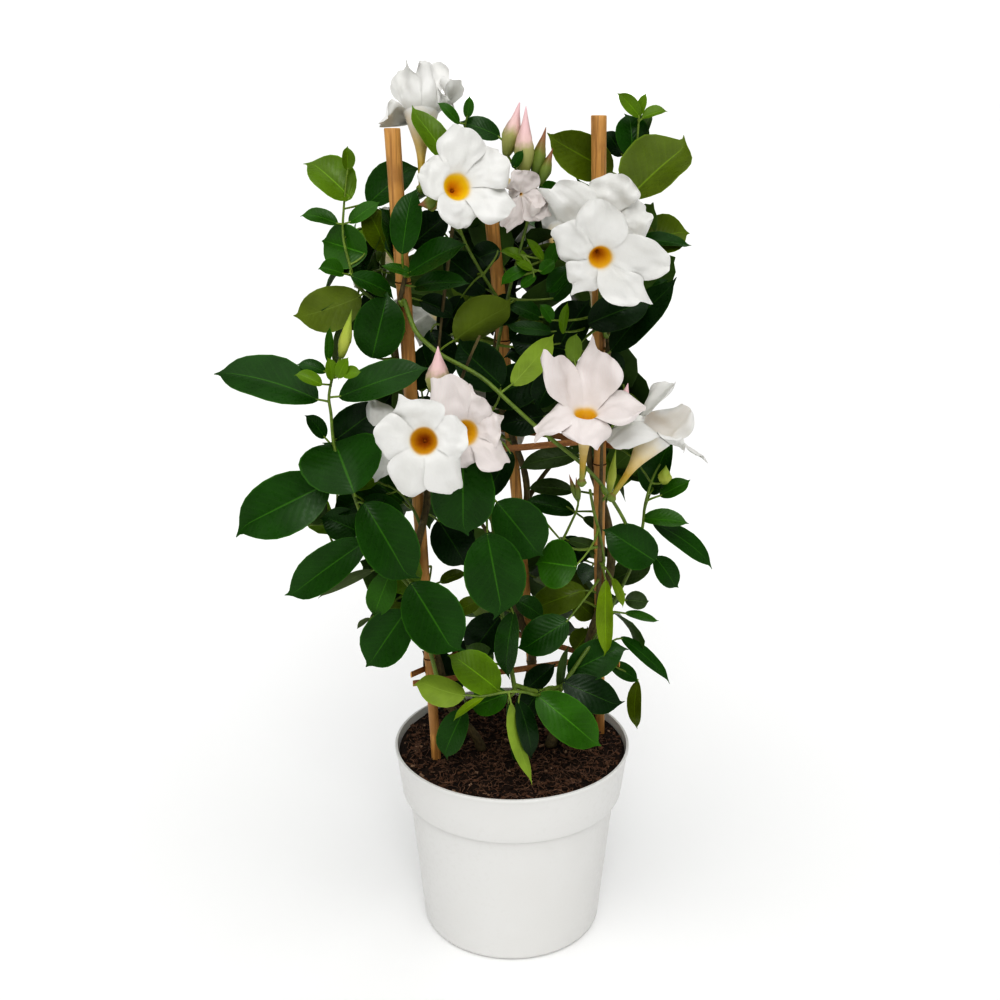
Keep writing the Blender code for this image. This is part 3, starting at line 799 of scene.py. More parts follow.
def makeRungs():
    cut = cutMaterial("rungCut")
    front, back = [bambooMaterial(name, tan, canes["dark"], canes["tan"], along)
                   for name, (tan, along) in rungs["bamboo"].items()]
    strips = {"front": front, "left": back, "right": back}
    for level in rungs["levels"]:
        for side in rungs["sides"]:
            makeRung(level, side, strips[side], cut)
    print("rungs tied on")


# ---- main stems and boughs ----
stems = {
    "foot": {"left": (-0.030, -0.014), "right": (0.038, -0.004), "back": (0.010, 0.034)},
    "footRadius": {"left": 0.0052, "right": 0.0056, "back": 0.0048},
    "tipRadius": {"left": 0.0022, "right": 0.0022, "back": 0.0021},
    "top": {"left": 0.655, "right": 0.672, "back": 0.640},
    "way": {"left": 1, "right": 1, "back": -1},
    "reach": 0.258, "hug": 0.0012, "knotRoom": 1.13, "flareHeight": 0.014, "flare": 1.7,
    "step": 0.0065, "sides": 16, "relief": 0.0007, "reliefSize": 0.0045,
    "dark": (0.060, 0.042, 0.018), "pale": (0.205, 0.165, 0.070),
}


def smoothStep(share):
    share = min(max(share, 0.0), 1.0)
    return share * share * (3.0 - 2.0 * share)


def stemRadius(name, height):
    top = stems["top"][name]
    share = (height - compost["level"]) / (top - compost["level"])
    plain = stems["footRadius"][name] + (stems["tipRadius"][name] - stems["footRadius"][name]) * share
    flare = max(0.0, 1.0 - (height - compost["level"]) / stems["flareHeight"])
    return plain * (1.0 + (stems["flare"] - 1.0) * flare * flare)


def windPoint(name, height):
    # one turn round the cane for each space between two levels of rungs
    low = rungs["levels"]["low"]
    middle = sum((canePoint(other, stems["reach"]) for other in canes["soil"]), Vector()) / 3
    toward = middle - canePoint(name, stems["reach"])
    rise = (height - low) / (rungs["levels"]["middle"] - low)
    angle = math.atan2(toward.y, toward.x) + stems["way"][name] * 2.0 * math.pi * rise
    gap = caneRadius(name, height) * stems["knotRoom"] + stemRadius(name, height) + stems["hug"]
    return canePoint(name, height) + Vector((math.cos(angle), math.sin(angle), 0.0)) * gap


def stemRoute(name):
    foot = Vector((*stems["foot"][name], 0.0))
    foot.z = compostTop(foot.x, foot.y) - 0.0006
    top = stems["top"][name]
    arrive = windPoint(name, stems["reach"])
    count = round((top - foot.z) / stems["step"])
    route = []
    for k in range(count + 1):
        height = foot.z + (top - foot.z) * k / count
        if height < stems["reach"]:
            point = foot.lerp(arrive, smoothStep((height - foot.z) / (stems["reach"] - foot.z)))
            point.z = height
        else:
            point = windPoint(name, height)
        route.append(point)
    return route


def barkMaterial():
    return grainMaterial("stemBark", stems["dark"], stems["pale"], 0.72, 70.0, 620.0,
                         stretch=(1.0, 1.0, 0.35), bump=0.7, relief=0.0009)


def roughen(piece, bark):
    # bark relief as real shape
    addModifier(piece, "SUBSURF", levels=1, render_levels=1)
    texture = bpy.data.textures.new(piece.name + "Relief", "CLOUDS")
    texture.noise_scale = stems["reliefSize"]
    texture.noise_depth = 2
    addModifier(piece, "DISPLACE", texture=texture, strength=stems["relief"], mid_level=0.5)
    piece.data.shade_smooth()
    wearMaterials(piece, bark)


def limbRoute(node):
    # a bough's middle line, read from its solid between its two ends
    points = np.array([v.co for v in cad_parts[node].data.vertices])
    middle = points.mean(axis=0)
    along = np.linalg.svd(points - middle, full_matrices=False)[2][0]
    reach = (points - middle) @ along
    ends = [points[np.abs(reach - limit) < 0.004].mean(axis=0) for limit in (reach.min(), reach.max())]
    inner = min(ends, key=lambda end: np.hypot(end[0] - 0.0, end[1] - 0.02))
    outer = ends[0] if inner is ends[1] else ends[1]
    start, end = Vector(inner), Vector(outer)
    bend = start.lerp(end, 0.45) + Vector((0.0, 0.0, (end - start).length * 0.16))
    return bowRoute(start, bend, end, 12)


limbs = []              # points and radii of every stem, bough and twig, for later ones to grow from


def rememberLimb(route, radii):
    for before, after, radius in zip(route, route[1:], radii):
        limbs.append((before.lerp(after, 0.5), radius))


def makeStems(bark):
    for name in stems["foot"]:
        route = stemRoute(name)
        radii = [stemRadius(name, max(point.z, compost["level"])) for point in route]
        for k, point in enumerate(route):
            radii[k] *= 1.0 + 0.05 * noise.noise(point * 90.0)
        stem = drawOut("stem_" + name, route, radii, stems["sides"])
        roughen(stem, bark)
        place(stem, "stem_bark", "stem_" + name)
        rememberLimb(route, radii)
    print("main stems wound")


boughThickness = {
    "low_front": 0.0026, "far_left": 0.0031, "front_left": 0.0028, "front_right": 0.0027,
    "back_left": 0.0028, "back_right": 0.0028, "upper_front": 0.0024, "top_left": 0.0021,
    "top_right": 0.0021,
}


def makeBoughs(bark):
    tubes = []
    for name, thickness in boughThickness.items():
        route = limbRoute("bough_" + name)
        radii = [thickness * (1.0 - 0.5 * k / (len(route) - 1)) for k in range(len(route))]
        tubes.append((route, radii))
        rememberLimb(route, radii)
    boughs = curveTubes("boughs", tubes, 3)
    roughen(boughs, bark)
    place(boughs, "stem_bark", *["bough_" + name for name in boughThickness])
    print("boughs grown")


# ---- leaves ----
leafBlade = {
    # place along the blade and half its width there, as shares of length and width
    "rows": ((0.0, 0.03), (0.03, 0.145), (0.08, 0.255), (0.16, 0.365), (0.27, 0.450), (0.40, 0.495),
             (0.53, 0.495), (0.65, 0.452), (0.75, 0.375), (0.825, 0.280), (0.88, 0.175), (0.918, 0.086),
             (0.955, 0.036), (1.0, 0.006)),
    "fewRows": ((0.0, 0.03), (0.09, 0.27), (0.25, 0.44), (0.45, 0.50), (0.65, 0.455), (0.81, 0.305),
                (0.91, 0.10), (1.0, 0.008)),
    "columns": 6, "fewColumns": 4, "thickness": 0.0042,
    "tones": {
        # the first tone is painted shade: a near-black green for leaves in the crown's shaded depths and
        # gaps
        "night": ((0.0035, 0.0230, 0.0010), (0.034, 0.070, 0.012)),
        "dark": ((0.0110, 0.0560, 0.0012), (0.055, 0.110, 0.017)),
        "mid": ((0.0270, 0.1000, 0.0020), (0.078, 0.140, 0.022)),
        "fresh": ((0.0950, 0.1720, 0.0040), (0.135, 0.205, 0.026)),
        "lime": ((0.1450, 0.2250, 0.0040), (0.180, 0.255, 0.030)),
        "olive": ((0.0850, 0.1250, 0.0030), (0.095, 0.132, 0.008)),
        # this blue-grey green is a painted sheen, for leaves that show the sky's reflection
        "grey": ((0.0480, 0.0860, 0.0200), (0.095, 0.132, 0.048)),
    },
    "roughness": 0.30, "specular": 0.24, "margin": 0.50,
    "veins": (17.0, 0.30, 0.021),       # how many, their slant, and the width of the midrib
    "bends": {
        "shown": {"bend": (0.25, 0.75), "fold": (0.12, 0.34), "cup": (-0.1, 0.25), "twist": (-0.25, 0.25),
                  "wave": (0.02, 0.06), "phase": (0.0, 6.0), "hook": (-0.24, 0.24)},
        "behind": {"bend": (0.2, 0.9), "fold": (0.10, 0.38), "cup": (-0.1, 0.25), "twist": (-0.3, 0.3),
                   "wave": (0.01, 0.05), "phase": (0.0, 6.0), "hook": (-0.12, 0.12)},
    },
}


def startBlade(rows, columns):
    # a flat blade of length 1, its outline set row by row, and left open to edit
    clearSelection()
    bpy.ops.mesh.primitive_grid_add(x_subdivisions=columns, y_subdivisions=len(rows) - 1,
                                    size=1.0, location=(0.0, 0.5, 0.0))
    blade = bpy.context.object
    settle(blade)
    startEdit(blade)
    for k, (along, half) in enumerate(rows):
        even = k / (len(rows) - 1)
        pickPoints(blade, lambda vert: vert.index // (columns + 1) == k)
        bpy.ops.transform.resize(value=(half * 2.0, 1.0, 1.0), center_override=(0.0, even, 0.0))
        bpy.ops.transform.translate(value=(0.0, along - even, 0.0))
    return blade


def thicken(piece, thickness, **values):
    # stand-in materials keep the two sides apart until the copies get theirs
    wearMaterials(piece, bpy.data.materials.new("upper"), bpy.data.materials.new("under"))
    addModifier(piece, "SOLIDIFY", thickness=thickness, offset=-1.0, use_rim=True, material_offset=1,
                **values)
    return takeShape(piece)


def modelLeaf(rows, columns):
    leaf = startBlade(rows, columns)
    endEdit()
    return thicken(leaf, leafBlade["thickness"], material_offset_rim=1)


def bendBlade(points, length, width, bend=0.5, fold=0.25, cup=0.0, twist=0.0, wave=0.0, phase=0.0,
              hook=0.0):
    # folds the blade at its midrib and bends it so that base and tip stay a length apart
    x, y, z = points[:, 0], points[:, 1], points[:, 2]
    side = np.sqrt(x * x + 0.0016) - 0.04
    height = side * width * fold + cup * width * side * side * 2.0 + z * length
    height = height + wave * width * side * np.sin(y * 13.0 + phase + np.sign(x) * 0.8)
    across = x * width + hook * width * np.clip((y - 0.80) / 0.20, 0.0, 1.0) ** 2
    turn = twist * (y - 0.3)
    across, height = (across * np.cos(turn) - height * np.sin(turn),
                      across * np.sin(turn) + height * np.cos(turn))
    bend = bend if abs(bend) > 1e-3 else 1e-3
    radius = length / (2.0 * math.sin(bend / 2.0))
    angle = bend * (y - 0.5)
    along = (radius + height) * np.sin(angle) + length / 2.0
    up = (radius + height) * np.cos(angle) - radius * math.cos(bend / 2.0)
    return np.stack([across, along, up], axis=1)


def drawBends(rng, kind):
    return {name: rng.uniform(*limits) for name, limits in leafBlade["bends"][kind].items()}


def layBlade(local, base, tip, facing):
    # base and tip are points, facing is the way the upper side looks
    along = (tip - base).normalized()
    side = along.cross(facing).normalized()
    up = side.cross(along)
    turn = np.array([side, along, up])
    return local @ turn + np.array(base)


def leafMaterial(name, tone, rib, roughness, ribShare, veinShare, veinBump):
    material, tree, shader = startMaterial(name, roughness,
                                           **{"Specular IOR Level": leafBlade["specular"]})
    veins = addGroup(tree, veinGroup, *leafBlade["veins"]).outputs
    mottle = addMottle(tree, 34.0, 260.0).outputs
    pale = tuple(min(1.0, c * 1.55 + 0.002) for c in tone)
    colour = mixColours(tree, times(tree, mottle["Broad"], 0.75), tone, pale)
    line = mathNode(tree, "MAXIMUM", times(tree, veins["Rib"], ribShare),
                    times(tree, veins["Veins"], veinShare))
    line = mathNode(tree, "MAXIMUM", line, times(tree, veins["Margin"], leafBlade["margin"]))
    relief = mathNode(tree, "ADD", times(tree, veins["Height"], 0.45), times(tree, mottle["Broad"], 0.8))
    dress(tree, shader, mixColours(tree, line, colour, rib), mottle["Fine"],
          (roughness - 0.04, roughness + 0.08), relief, veinBump, 0.0005)
    return material


def leafMaterials():
    made = []
    for name, (upper, under) in leafBlade["tones"].items():
        rib = tuple(min(1.0, c * 2.0 + add) for c, add in zip(upper, (0.030, 0.065, 0.006)))
        made.append(leafMaterial("leaf_" + name, upper, rib, leafBlade["roughness"], 0.80, 0.09, 0.28))
        paleRib = tuple(min(1.0, c * 1.5 + 0.015) for c in under)
        made.append(leafMaterial("leafUnder_" + name, under, paleRib, 0.55, 0.8, 0.14, 0.30))
    return made


leaves = {}             # for each level of the crown: shape, points and tone of every leaf
petioles = []           # (points, radii) of leaf stalks and thin twigs
hiddenParts = {
    # ellipses of the picture that stay open to the sky: middle and half sizes
    "gaps": ((547, 470, 34, 26), (520, 520, 10, 12), (545, 292, 14, 7), (444, 612, 7, 12),
             (540, 612, 16, 9), (545, 672, 14, 7), (350, 572, 12, 12), (417, 513, 7, 8),
             (640, 500, 10, 6), (612, 585, 5, 14), (470, 590, 6, 6), (600, 690, 8, 8)),
    # corners of the crown's outline, which leaves behind the shown ones keep within
    "outline": (
        (372, 196), (392, 172), (412, 170), (440, 160), (452, 128), (478, 120), (500, 140), (520, 150),
        (560, 140), (580, 128), (600, 140), (622, 118), (655, 118), (645, 145), (690, 148), (668, 200),
        (684, 225), (688, 245), (672, 282), (655, 310), (625, 345), (640, 380), (655, 440), (672, 450),
        (690, 485), (688, 520), (704, 562), (678, 582), (650, 600), (640, 640), (662, 672), (640, 722),
        (602, 745), (540, 745), (470, 720), (446, 752), (430, 700), (418, 668), (362, 662), (368, 610),
        (385, 585), (300, 592), (345, 545), (300, 525), (240, 522), (275, 480), (325, 462), (318, 430),
        (322, 398), (232, 374), (260, 358), (320, 370), (335, 332), (300, 318), (330, 290), (325, 245),
        (345, 225)),
    "outlineRoom": 11.0,
}


# The foliage is joined by height: upper limit of each level, its masses and the twigs in each.
levels = {
    "low": (0.375, {"low_front": 16, "low_left": 14, "low_right": 24, "low_back": 15}),
    "middle": (0.560, {"far_left": 16, "front_left": 16, "front_right": 24, "right_side": 32,
                       "back_left": 20, "back_right": 20}),
    "upper": (0.715, {"upper_left": 20, "upper_front": 20, "upper_right": 28, "upper_back": 26}),
    "top": (1.0, {"top_left": 10, "top_right": 8}),
}


def addLeaf(shape, base, tip, facing, width, tone, **bends):
    local = bendBlade(shape["points"], (tip - base).length, width, **bends)
    slot = list(leafBlade["tones"]).index(tone) * 2
    level = next(name for name, (limit, _) in levels.items() if ((base + tip) / 2).z < limit)
    leaves.setdefault(level, []).append((shape, layBlade(local, base, tip, facing), slot))


def stalkTo(base, direction, radius=0.0011):
    # a stalk from the nearest limb, rather one that lies behind the base
    def farness(limb):
        away = base - limb[0]
        return away.length * (1.6 - 0.6 * away.normalized().dot(direction))

    start, thick = min(limbs, key=farness)
    gap = (base - start).length
    bend = start.lerp(base, 0.5) - direction * gap * 0.22 + Vector((0.0, 0.0, gap * 0.10))
    count = max(4, min(9, int(gap / 0.008)))
    foot = min(thick * 0.8, radius * (1.0 + gap * 9.0))
    petioles.append((bowRoute(start, bend, base + direction * 0.002, count),
                     taperRadii(foot, radius * 0.8, count)))


# ---- shoots that show: radius at foot and tip, then picture points with a depth in millimetres ----
shoots = {
    "longGreen": (0.0021, 0.0016,
        (404, 300, -45), (415, 330, -52), (430, 346, -60), (445, 357, -66), (481, 377, -80),
        (510, 403, -88), (531, 422, -90), (555, 442, -88), (583, 465, -76), (604, 488, -55),
        (623, 518, -30), (632, 540, -8)),
    "topLeft": (0.0019, 0.0008,
        (404, 330, -38), (380, 305, -36), (357, 285, -34), (349, 262, -30), (343, 235, -26),
        (344, 205, -22), (347, 172, -20)),
    "farLeft": (0.0021, 0.0011,
        (413, 590, -70), (392, 566, -78), (375, 545, -86), (361, 514, -92), (350, 485, -90),
        (335, 450, -86), (331, 414, -82), (329, 395, -80), (335, 366, -78)),
    "leftLow": (0.0022, 0.0015,
        (440, 690, -50), (430, 650, -56), (420, 615, -66), (411, 583, -78), (396, 568, -74)),
    "middle": (0.0023, 0.0014,
        (515, 690, -50), (508, 650, -40), (500, 600, -38), (495, 560, -42), (492, 520, -46),
        (480, 480, -50), (468, 455, -60)),
    "middleUp": (0.002, 0.0012,
        (470, 470, -40), (480, 430, -6), (490, 395, 16), (497, 350, 24), (505, 310, 6), (512, 280, -20),
        (520, 250, -34), (530, 210, -36), (532, 180, -36)),
    "topMiddle": (0.0017, 0.0009,
        (505, 310, 6), (480, 270, -2), (462, 235, -10), (455, 200, -8), (462, 150, -16), (466, 120, -26)),
    "flowerTop": (0.0014, 0.0012,
        (462, 235, -10), (445, 215, -8), (432, 195, -8), (425, 174, -6)),
    "topRight": (0.002, 0.0009,
        (604, 330, 8), (600, 300, -4), (604, 260, -8), (618, 225, -4), (632, 190, 2), (636, 155, 12),
        (639, 118, 14)),
    "rightLow": (0.0023, 0.001,
        (560, 690, -28), (580, 660, -20), (600, 630, -6), (615, 600, 2), (632, 565, 2), (642, 530, -2),
        (645, 505, -2), (652, 480, 0), (660, 464, 2)),
    "limeLow": (0.0018, 0.001,
        (560, 686, -30), (548, 690, -60), (537, 695, -82), (524, 692, -92), (506, 692, -96),
        (484, 696, -98), (466, 695, -98)),
    "dropRight": (0.0013, 0.0009,
        (600, 640, 4), (607, 652, 14), (612, 664, 18), (626, 672, 22), (638, 680, 24)),
    "sprig": (0.0013, 0.0008,
        (560, 545, -8), (570, 525, -20), (578, 505, -28), (577, 482, -32)),
    "flowerRight": (0.0017, 0.0013,
        (604, 560, -2), (600, 535, -22), (594, 512, -40), (590, 490, -52)),
}


def growShoots():
    tubes = []
    for thick, thin, *rough in shoots.values():
        route = smoothRoute([sightPoint(*point) for point in rough], 4)
        radii = taperRadii(thick, thin, len(route) - 1)
        tubes.append((route, radii))
        foot = route[0]
        limb = min(limbs, key=lambda limb: (limb[0] - foot).length)
        if (limb[0] - foot).length > 0.004:
            bridge = smoothRoute([limb[0], limb[0].lerp(foot, 0.5) + Vector((0.0, 0.0, -0.004)), foot], 4)
            petioles.append((bridge, [thick * 1.1] * len(bridge)))
        rememberLimb(route, radii)
    return tubes


def smoothRoute(points, steps):
    # a smooth line through every point
    ends = [points[0] * 2 - points[1]] + list(points) + [points[-1] * 2 - points[-2]]
    route = []
    for a, b, c, d in zip(ends, ends[1:], ends[2:], ends[3:]):
        for k in range(steps):
            t = k / steps
            route.append(0.5 * ((2 * b) + (c - a) * t + (2 * a - 5 * b + 4 * c - d) * t * t
                                + (3 * b - a - 3 * c + d) * t * t * t))
    route.append(points[-1].copy())
    return route


# Leaves that show from the front: base and tip in the picture, width there, depth at the base
# and how far the tip lies behind it in millimetres, turn about the midrib in degrees, and tone.
# The near-black tone paints shade on leaves in the crown's shaded gaps; the blue-grey tone paints sheen.
shownLeaves = {
    "topLeft": (
        (351, 199, 308, 160, 38, -20, 12, 28, "fresh"), (348, 170, 346, 146, 13, -20, 0, 20, "fresh"),
        (338, 224, 301, 214, 14, -24, 6, 40, "mid"), (349, 223, 380, 202, 15, -24, 8, 40, "mid"),
        (367, 254, 322, 240, 44, -26, 14, 0, "mid"), (344, 274, 318, 267, 16, -44, -8, 40, "mid"),
        (351, 276, 395, 296, 20, -44, 10, 35, "dark"), (361, 296, 294, 318, 44, -36, -20, 200, "olive"),
        (368, 204, 417, 163, 34, -4, 6, 30, "dark"), (386, 251, 364, 204, 30, -12, 0, 20, "olive"),
        (396, 256, 383, 206, 22, -20, 0, 55, "dark"), (402, 254, 413, 187, 31, -62, 10, -12, "dark"),
        (411, 246, 450, 214, 34, 2, 0, 20, "night"), (409, 273, 466, 243, 26, -56, -8, 45, "dark"),
        (414, 275, 381, 266, 10, -52, 0, 40, "mid"), (487, 290, 443, 254, 40, 6, 6, 0, "night"),
        (414, 287, 470, 284, 20, -42, -10, 40, "dark"), (450, 162, 409, 107, 24, -40, 8, -30, "fresh"),
        (500, 137, 460, 122, 20, -18, 0, 30, "dark"), (459, 124, 438, 102, 10, -34, 0, 30, "mid"),
        (467, 118, 470, 96, 10, -26, 0, 10, "mid"), (517, 147, 506, 139, 12, -44, 0, 10, "dark"),
        (513, 168, 523, 150, 10, -62, 0, 10, "dark"), (404, 232, 396, 262, 24, -14, 0, 30, "dark"),
        (420, 300, 455, 316, 22, -20, 0, 20, "night"), (430, 330, 450, 380, 34, -8, 0, 10, "night"),
        (440, 344, 410, 392, 32, -14, 0, 10, "night"), (462, 296, 440, 338, 24, 0, 0, 10, "night")),
    "topRight": (
        (612, 173, 546, 135, 42, 46, -10, 0, "olive"), (622, 156, 605, 130, 18, 50, 0, 20, "night"),
        (632, 157, 629, 113, 32, 22, 10, 15, "dark"), (634, 148, 653, 113, 20, 32, 0, 40, "grey"),
        (640, 117, 618, 92, 14, 14, 0, 20, "fresh"), (638, 117, 646, 93, 9, 16, 0, 20, "fresh"),
        (642, 118, 667, 110, 10, 12, 0, 45, "fresh"), (629, 198, 692, 142, 54, -30, 10, 45, "olive"),
        (640, 242, 689, 231, 38, -6, 10, 20, "olive"), (637, 241, 692, 247, 13, -12, 6, 50, "dark"),
        (611, 351, 679, 280, 34, -14, -14, 30, "night"), (652, 291, 668, 279, 9, -10, 0, 20, "dark"),
        (588, 324, 652, 300, 38, -28, 6, 10, "night"), (560, 345, 590, 300, 40, 0, 0, 20, "night"),
        (600, 190, 590, 240, 36, 30, 0, 10, "dark")),
    "middleTop": (
        (455, 340, 515, 304, 40, -32, 4, 205, "olive"), (512, 385, 554, 334, 27, -78, 8, 165, "lime"),
        (502, 386, 455, 342, 46, -30, 0, 0, "night"), (553, 332, 505, 327, 14, 0, 0, 30, "dark"),
        (541, 318, 504, 303, 18, 10, 0, 35, "dark"), (540, 184, 566, 205, 20, -22, 0, 10, "mid"),
        (574, 362, 575, 333, 17, -44, 4, 190, "fresh"), (563, 334, 568, 302, 9, -36, 0, 30, "fresh"),
        (552, 322, 540, 304, 12, -36, 0, 30, "mid"), (600, 352, 626, 368, 16, 46, 0, 10, "night"),
        (545, 416, 498, 426, 34, 22, 0, 10, "night"), (545, 372, 482, 402, 44, 12, 0, 0, "night"),
        (579, 454, 518, 467, 22, 60, -6, 20, "grey"), (573, 491, 527, 487, 17, 72, 0, 30, "grey"),
        (575, 512, 523, 501, 20, 66, 0, 20, "dark"), (530, 264, 499, 250, 11, -34, 0, 40, "fresh"),
        (528, 268, 500, 284, 13, -40, 0, 25, "mid"), (540, 273, 556, 261, 13, -44, 0, 20, "mid"),
        (571, 268, 547, 294, 17, -30, 0, 35, "dark"), (543, 260, 526, 238, 9, -40, 0, 30, "fresh"),
        (532, 270, 515, 262, 9, -42, 0, 40, "fresh"), (536, 276, 520, 288, 10, -42, 0, 30, "mid"),
        (548, 268, 560, 240, 14, -24, 0, 30, "mid"), (552, 300, 575, 275, 20, -6, 0, 20, "dark"),
        (520, 300, 490, 322, 30, 20, 0, 10, "night"), (500, 250, 470, 262, 24, 16, 0, 20, "night"),
        (566, 350, 508, 342, 34, 14, 0, 10, "night"), (558, 360, 504, 352, 32, 20, 0, 20, "night"),
        (560, 366, 536, 410, 30, 4, 0, 10, "night"), (512, 452, 484, 500, 26, -24, 0, 10, "night")),
    "farLeft": (
        (318, 400, 215, 372, 44, -78, 14, 38, "dark"), (339, 397, 429, 367, 34, -78, 4, 35, "dark"),
        (322, 385, 295, 373, 13, -90, 0, 30, "fresh"), (331, 380, 329, 357, 12, -90, 0, 30, "fresh"),
        (338, 378, 348, 357, 13, -90, 0, 20, "fresh"), (343, 374, 361, 373, 13, -92, -4, 30, "fresh"),
        (328, 362, 329, 326, 9, -76, 0, 20, "mid"), (326, 372, 297, 364, 13, -62, 0, 30, "dark"),
        (372, 358, 388, 292, 50, -50, 10, 0, "dark"), (354, 493, 334, 440, 84, -116, 44, 0, "dark"),
        (329, 483, 233, 531, 60, -84, -10, 5, "dark"), (366, 541, 287, 599, 40, -82, 6, 10, "dark"),
        (360, 532, 321, 515, 34, -62, 0, 0, "dark"), (325, 438, 306, 414, 16, -52, 0, 20, "dark"),
        (335, 440, 384, 404, 40, -60, 0, 0, "night"), (362, 500, 406, 521, 28, -60, 0, 10, "dark"),
        (373, 570, 317, 597, 11, -52, 0, 160, "grey"), (371, 618, 357, 629, 6, -46, 0, 120, "grey"),
        (392, 430, 350, 446, 34, -40, 0, 10, "night")),
    "frontLeft": (
        (364, 503, 411, 584, 56, -98, -6, -6, "dark"), (411, 583, 456, 657, 60, -98, -8, -6, "dark"),
        (391, 571, 373, 618, 29, -74, 0, 10, "mid"), (406, 611, 367, 668, 48, -76, -4, 8, "dark"),
        (463, 452, 463, 536, 64, -86, -8, 0, "dark"), (497, 502, 541, 558, 52, -62, 0, 10, "dark"),
        (487, 533, 503, 618, 62, -82, -6, 0, "dark"), (438, 520, 466, 566, 44, -18, 0, 10, "night"),
        (440, 582, 467, 573, 12, -10, 0, 30, "olive"), (482, 600, 454, 613, 17, -8, 0, 20, "olive"),
        (501, 615, 469, 657, 38, -20, 0, 10, "night"), (516, 600, 544, 618, 22, -18, 0, 20, "dark"),
        (470, 520, 440, 556, 34, 0, 0, 0, "night")),
    "right": (
        (650, 494, 672, 439, 32, 26, 0, 25, "dark"), (646, 480, 611, 470, 13, 62, 0, 30, "grey"),
        (660, 496, 691, 481, 17, 8, 0, 30, "mid"), (642, 519, 689, 523, 17, 0, -6, 40, "mid"),
        (653, 523, 713, 567, 20, 10, 0, 40, "dark"), (655, 557, 677, 589, 23, 22, 0, 20, "dark"),
        (655, 561, 604, 527, 42, -26, 4, -4, "dark"), (650, 562, 610, 582, 27, 50, 0, 10, "grey"),
        (625, 600, 649, 603, 18, 40, 0, 20, "grey"), (625, 613, 659, 622, 9, 30, 0, 40, "mid"),
        (621, 637, 671, 681, 14, 30, 0, 35, "dark"), (610, 664, 639, 681, 16, 22, 0, 20, "dark"),
        (638, 681, 637, 729, 14, 26, 0, 40, "olive"), (606, 580, 607, 657, 17, -24, -6, 10, "lime"),
        (612, 578, 624, 607, 9, -10, 0, 30, "lime"), (577, 567, 536, 561, 50, -62, 14, 0, "mid"),
        (567, 540, 614, 557, 13, 30, 0, 30, "grey"), (583, 518, 617, 537, 13, 60, 0, 30, "grey"),
        (585, 590, 529, 611, 32, 10, 0, 10, "olive"), (575, 600, 595, 618, 26, 30, 0, 0, "olive"),
        (560, 540, 590, 560, 24, 36, 0, 10, "night")),
    "low": (
        (568, 673, 626, 644, 38, -18, 4, 0, "dark"), (563, 682, 622, 708, 36, -28, -6, 5, "night"),
        (537, 695, 600, 748, 42, -78, -10, 5, "mid"), (568, 621, 519, 652, 38, -32, -4, -10, "dark"),
        (575, 650, 591, 629, 26, 40, 0, 0, "olive"), (560, 694, 568, 645, 9, -22, 0, 30, "grey"),
        (465, 696, 415, 679, 30, -98, 4, 205, "lime"), (484, 697, 453, 720, 8, -98, 0, 30, "lime"),
        (499, 691, 449, 653, 38, -86, 6, 20, "fresh"), (507, 694, 470, 708, 30, -74, 4, 5, "mid"),
        (465, 709, 443, 758, 28, -72, -4, 15, "dark"), (511, 703, 534, 784, 14, -98, -4, 150, "lime"),
        (518, 701, 532, 759, 20, -86, -2, 35, "night"), (508, 704, 517, 766, 16, -80, 0, 35, "dark"),
        (461, 690, 422, 651, 34, -14, 0, 10, "night"), (514, 612, 506, 678, 24, -56, 0, 35, "dark"),
        (492, 664, 464, 647, 24, -32, 0, 10, "grey"), (526, 690, 556, 664, 22, -10, 0, 10, "night"),
        (540, 690, 520, 722, 24, -40, 0, 20, "night"), (490, 640, 450, 672, 30, 10, 0, 10, "night")),
}


def placeShownLeaves(rng):
    for group in shownLeaves.values():
        for x, y, tipX, tipY, wide, depth, lean, roll, tone in group:
            base = sightPoint(x, y, depth)
            tip = sightPoint(tipX, tipY, depth + lean)
            middle = (base + tip) / 2
            sight = towardCamera(middle)
            along = (tip - base).normalized()
            facing = (sight - along * sight.dot(along)).normalized()
            # a leaf turned from the viewer looks up rather than down
            ways = [Matrix.Rotation(math.radians(angle), 3, along) @ facing for angle in (roll, -roll)]
            facing = ways[1] if abs(roll) < 90 and ways[1].z > ways[0].z + 0.12 else ways[0]
            width = wide * pictureScale(middle) / max(abs(math.cos(math.radians(roll))), 0.55)
            addLeaf(leafShape, base, tip, facing, width, tone, **drawBends(rng, "shown"))
            stalkTo(base, along)
            coverStrip((x, y), (tipX, tipY), wide, middle.y)


coveredStrips = []      # picture strips of what shows in front: leaves and petals


def coverStrip(start, end, wide, depth):
    coveredStrips.append((*start, end[0] - start[0], end[1] - start[1], wide * 0.55 + 1.0, depth))


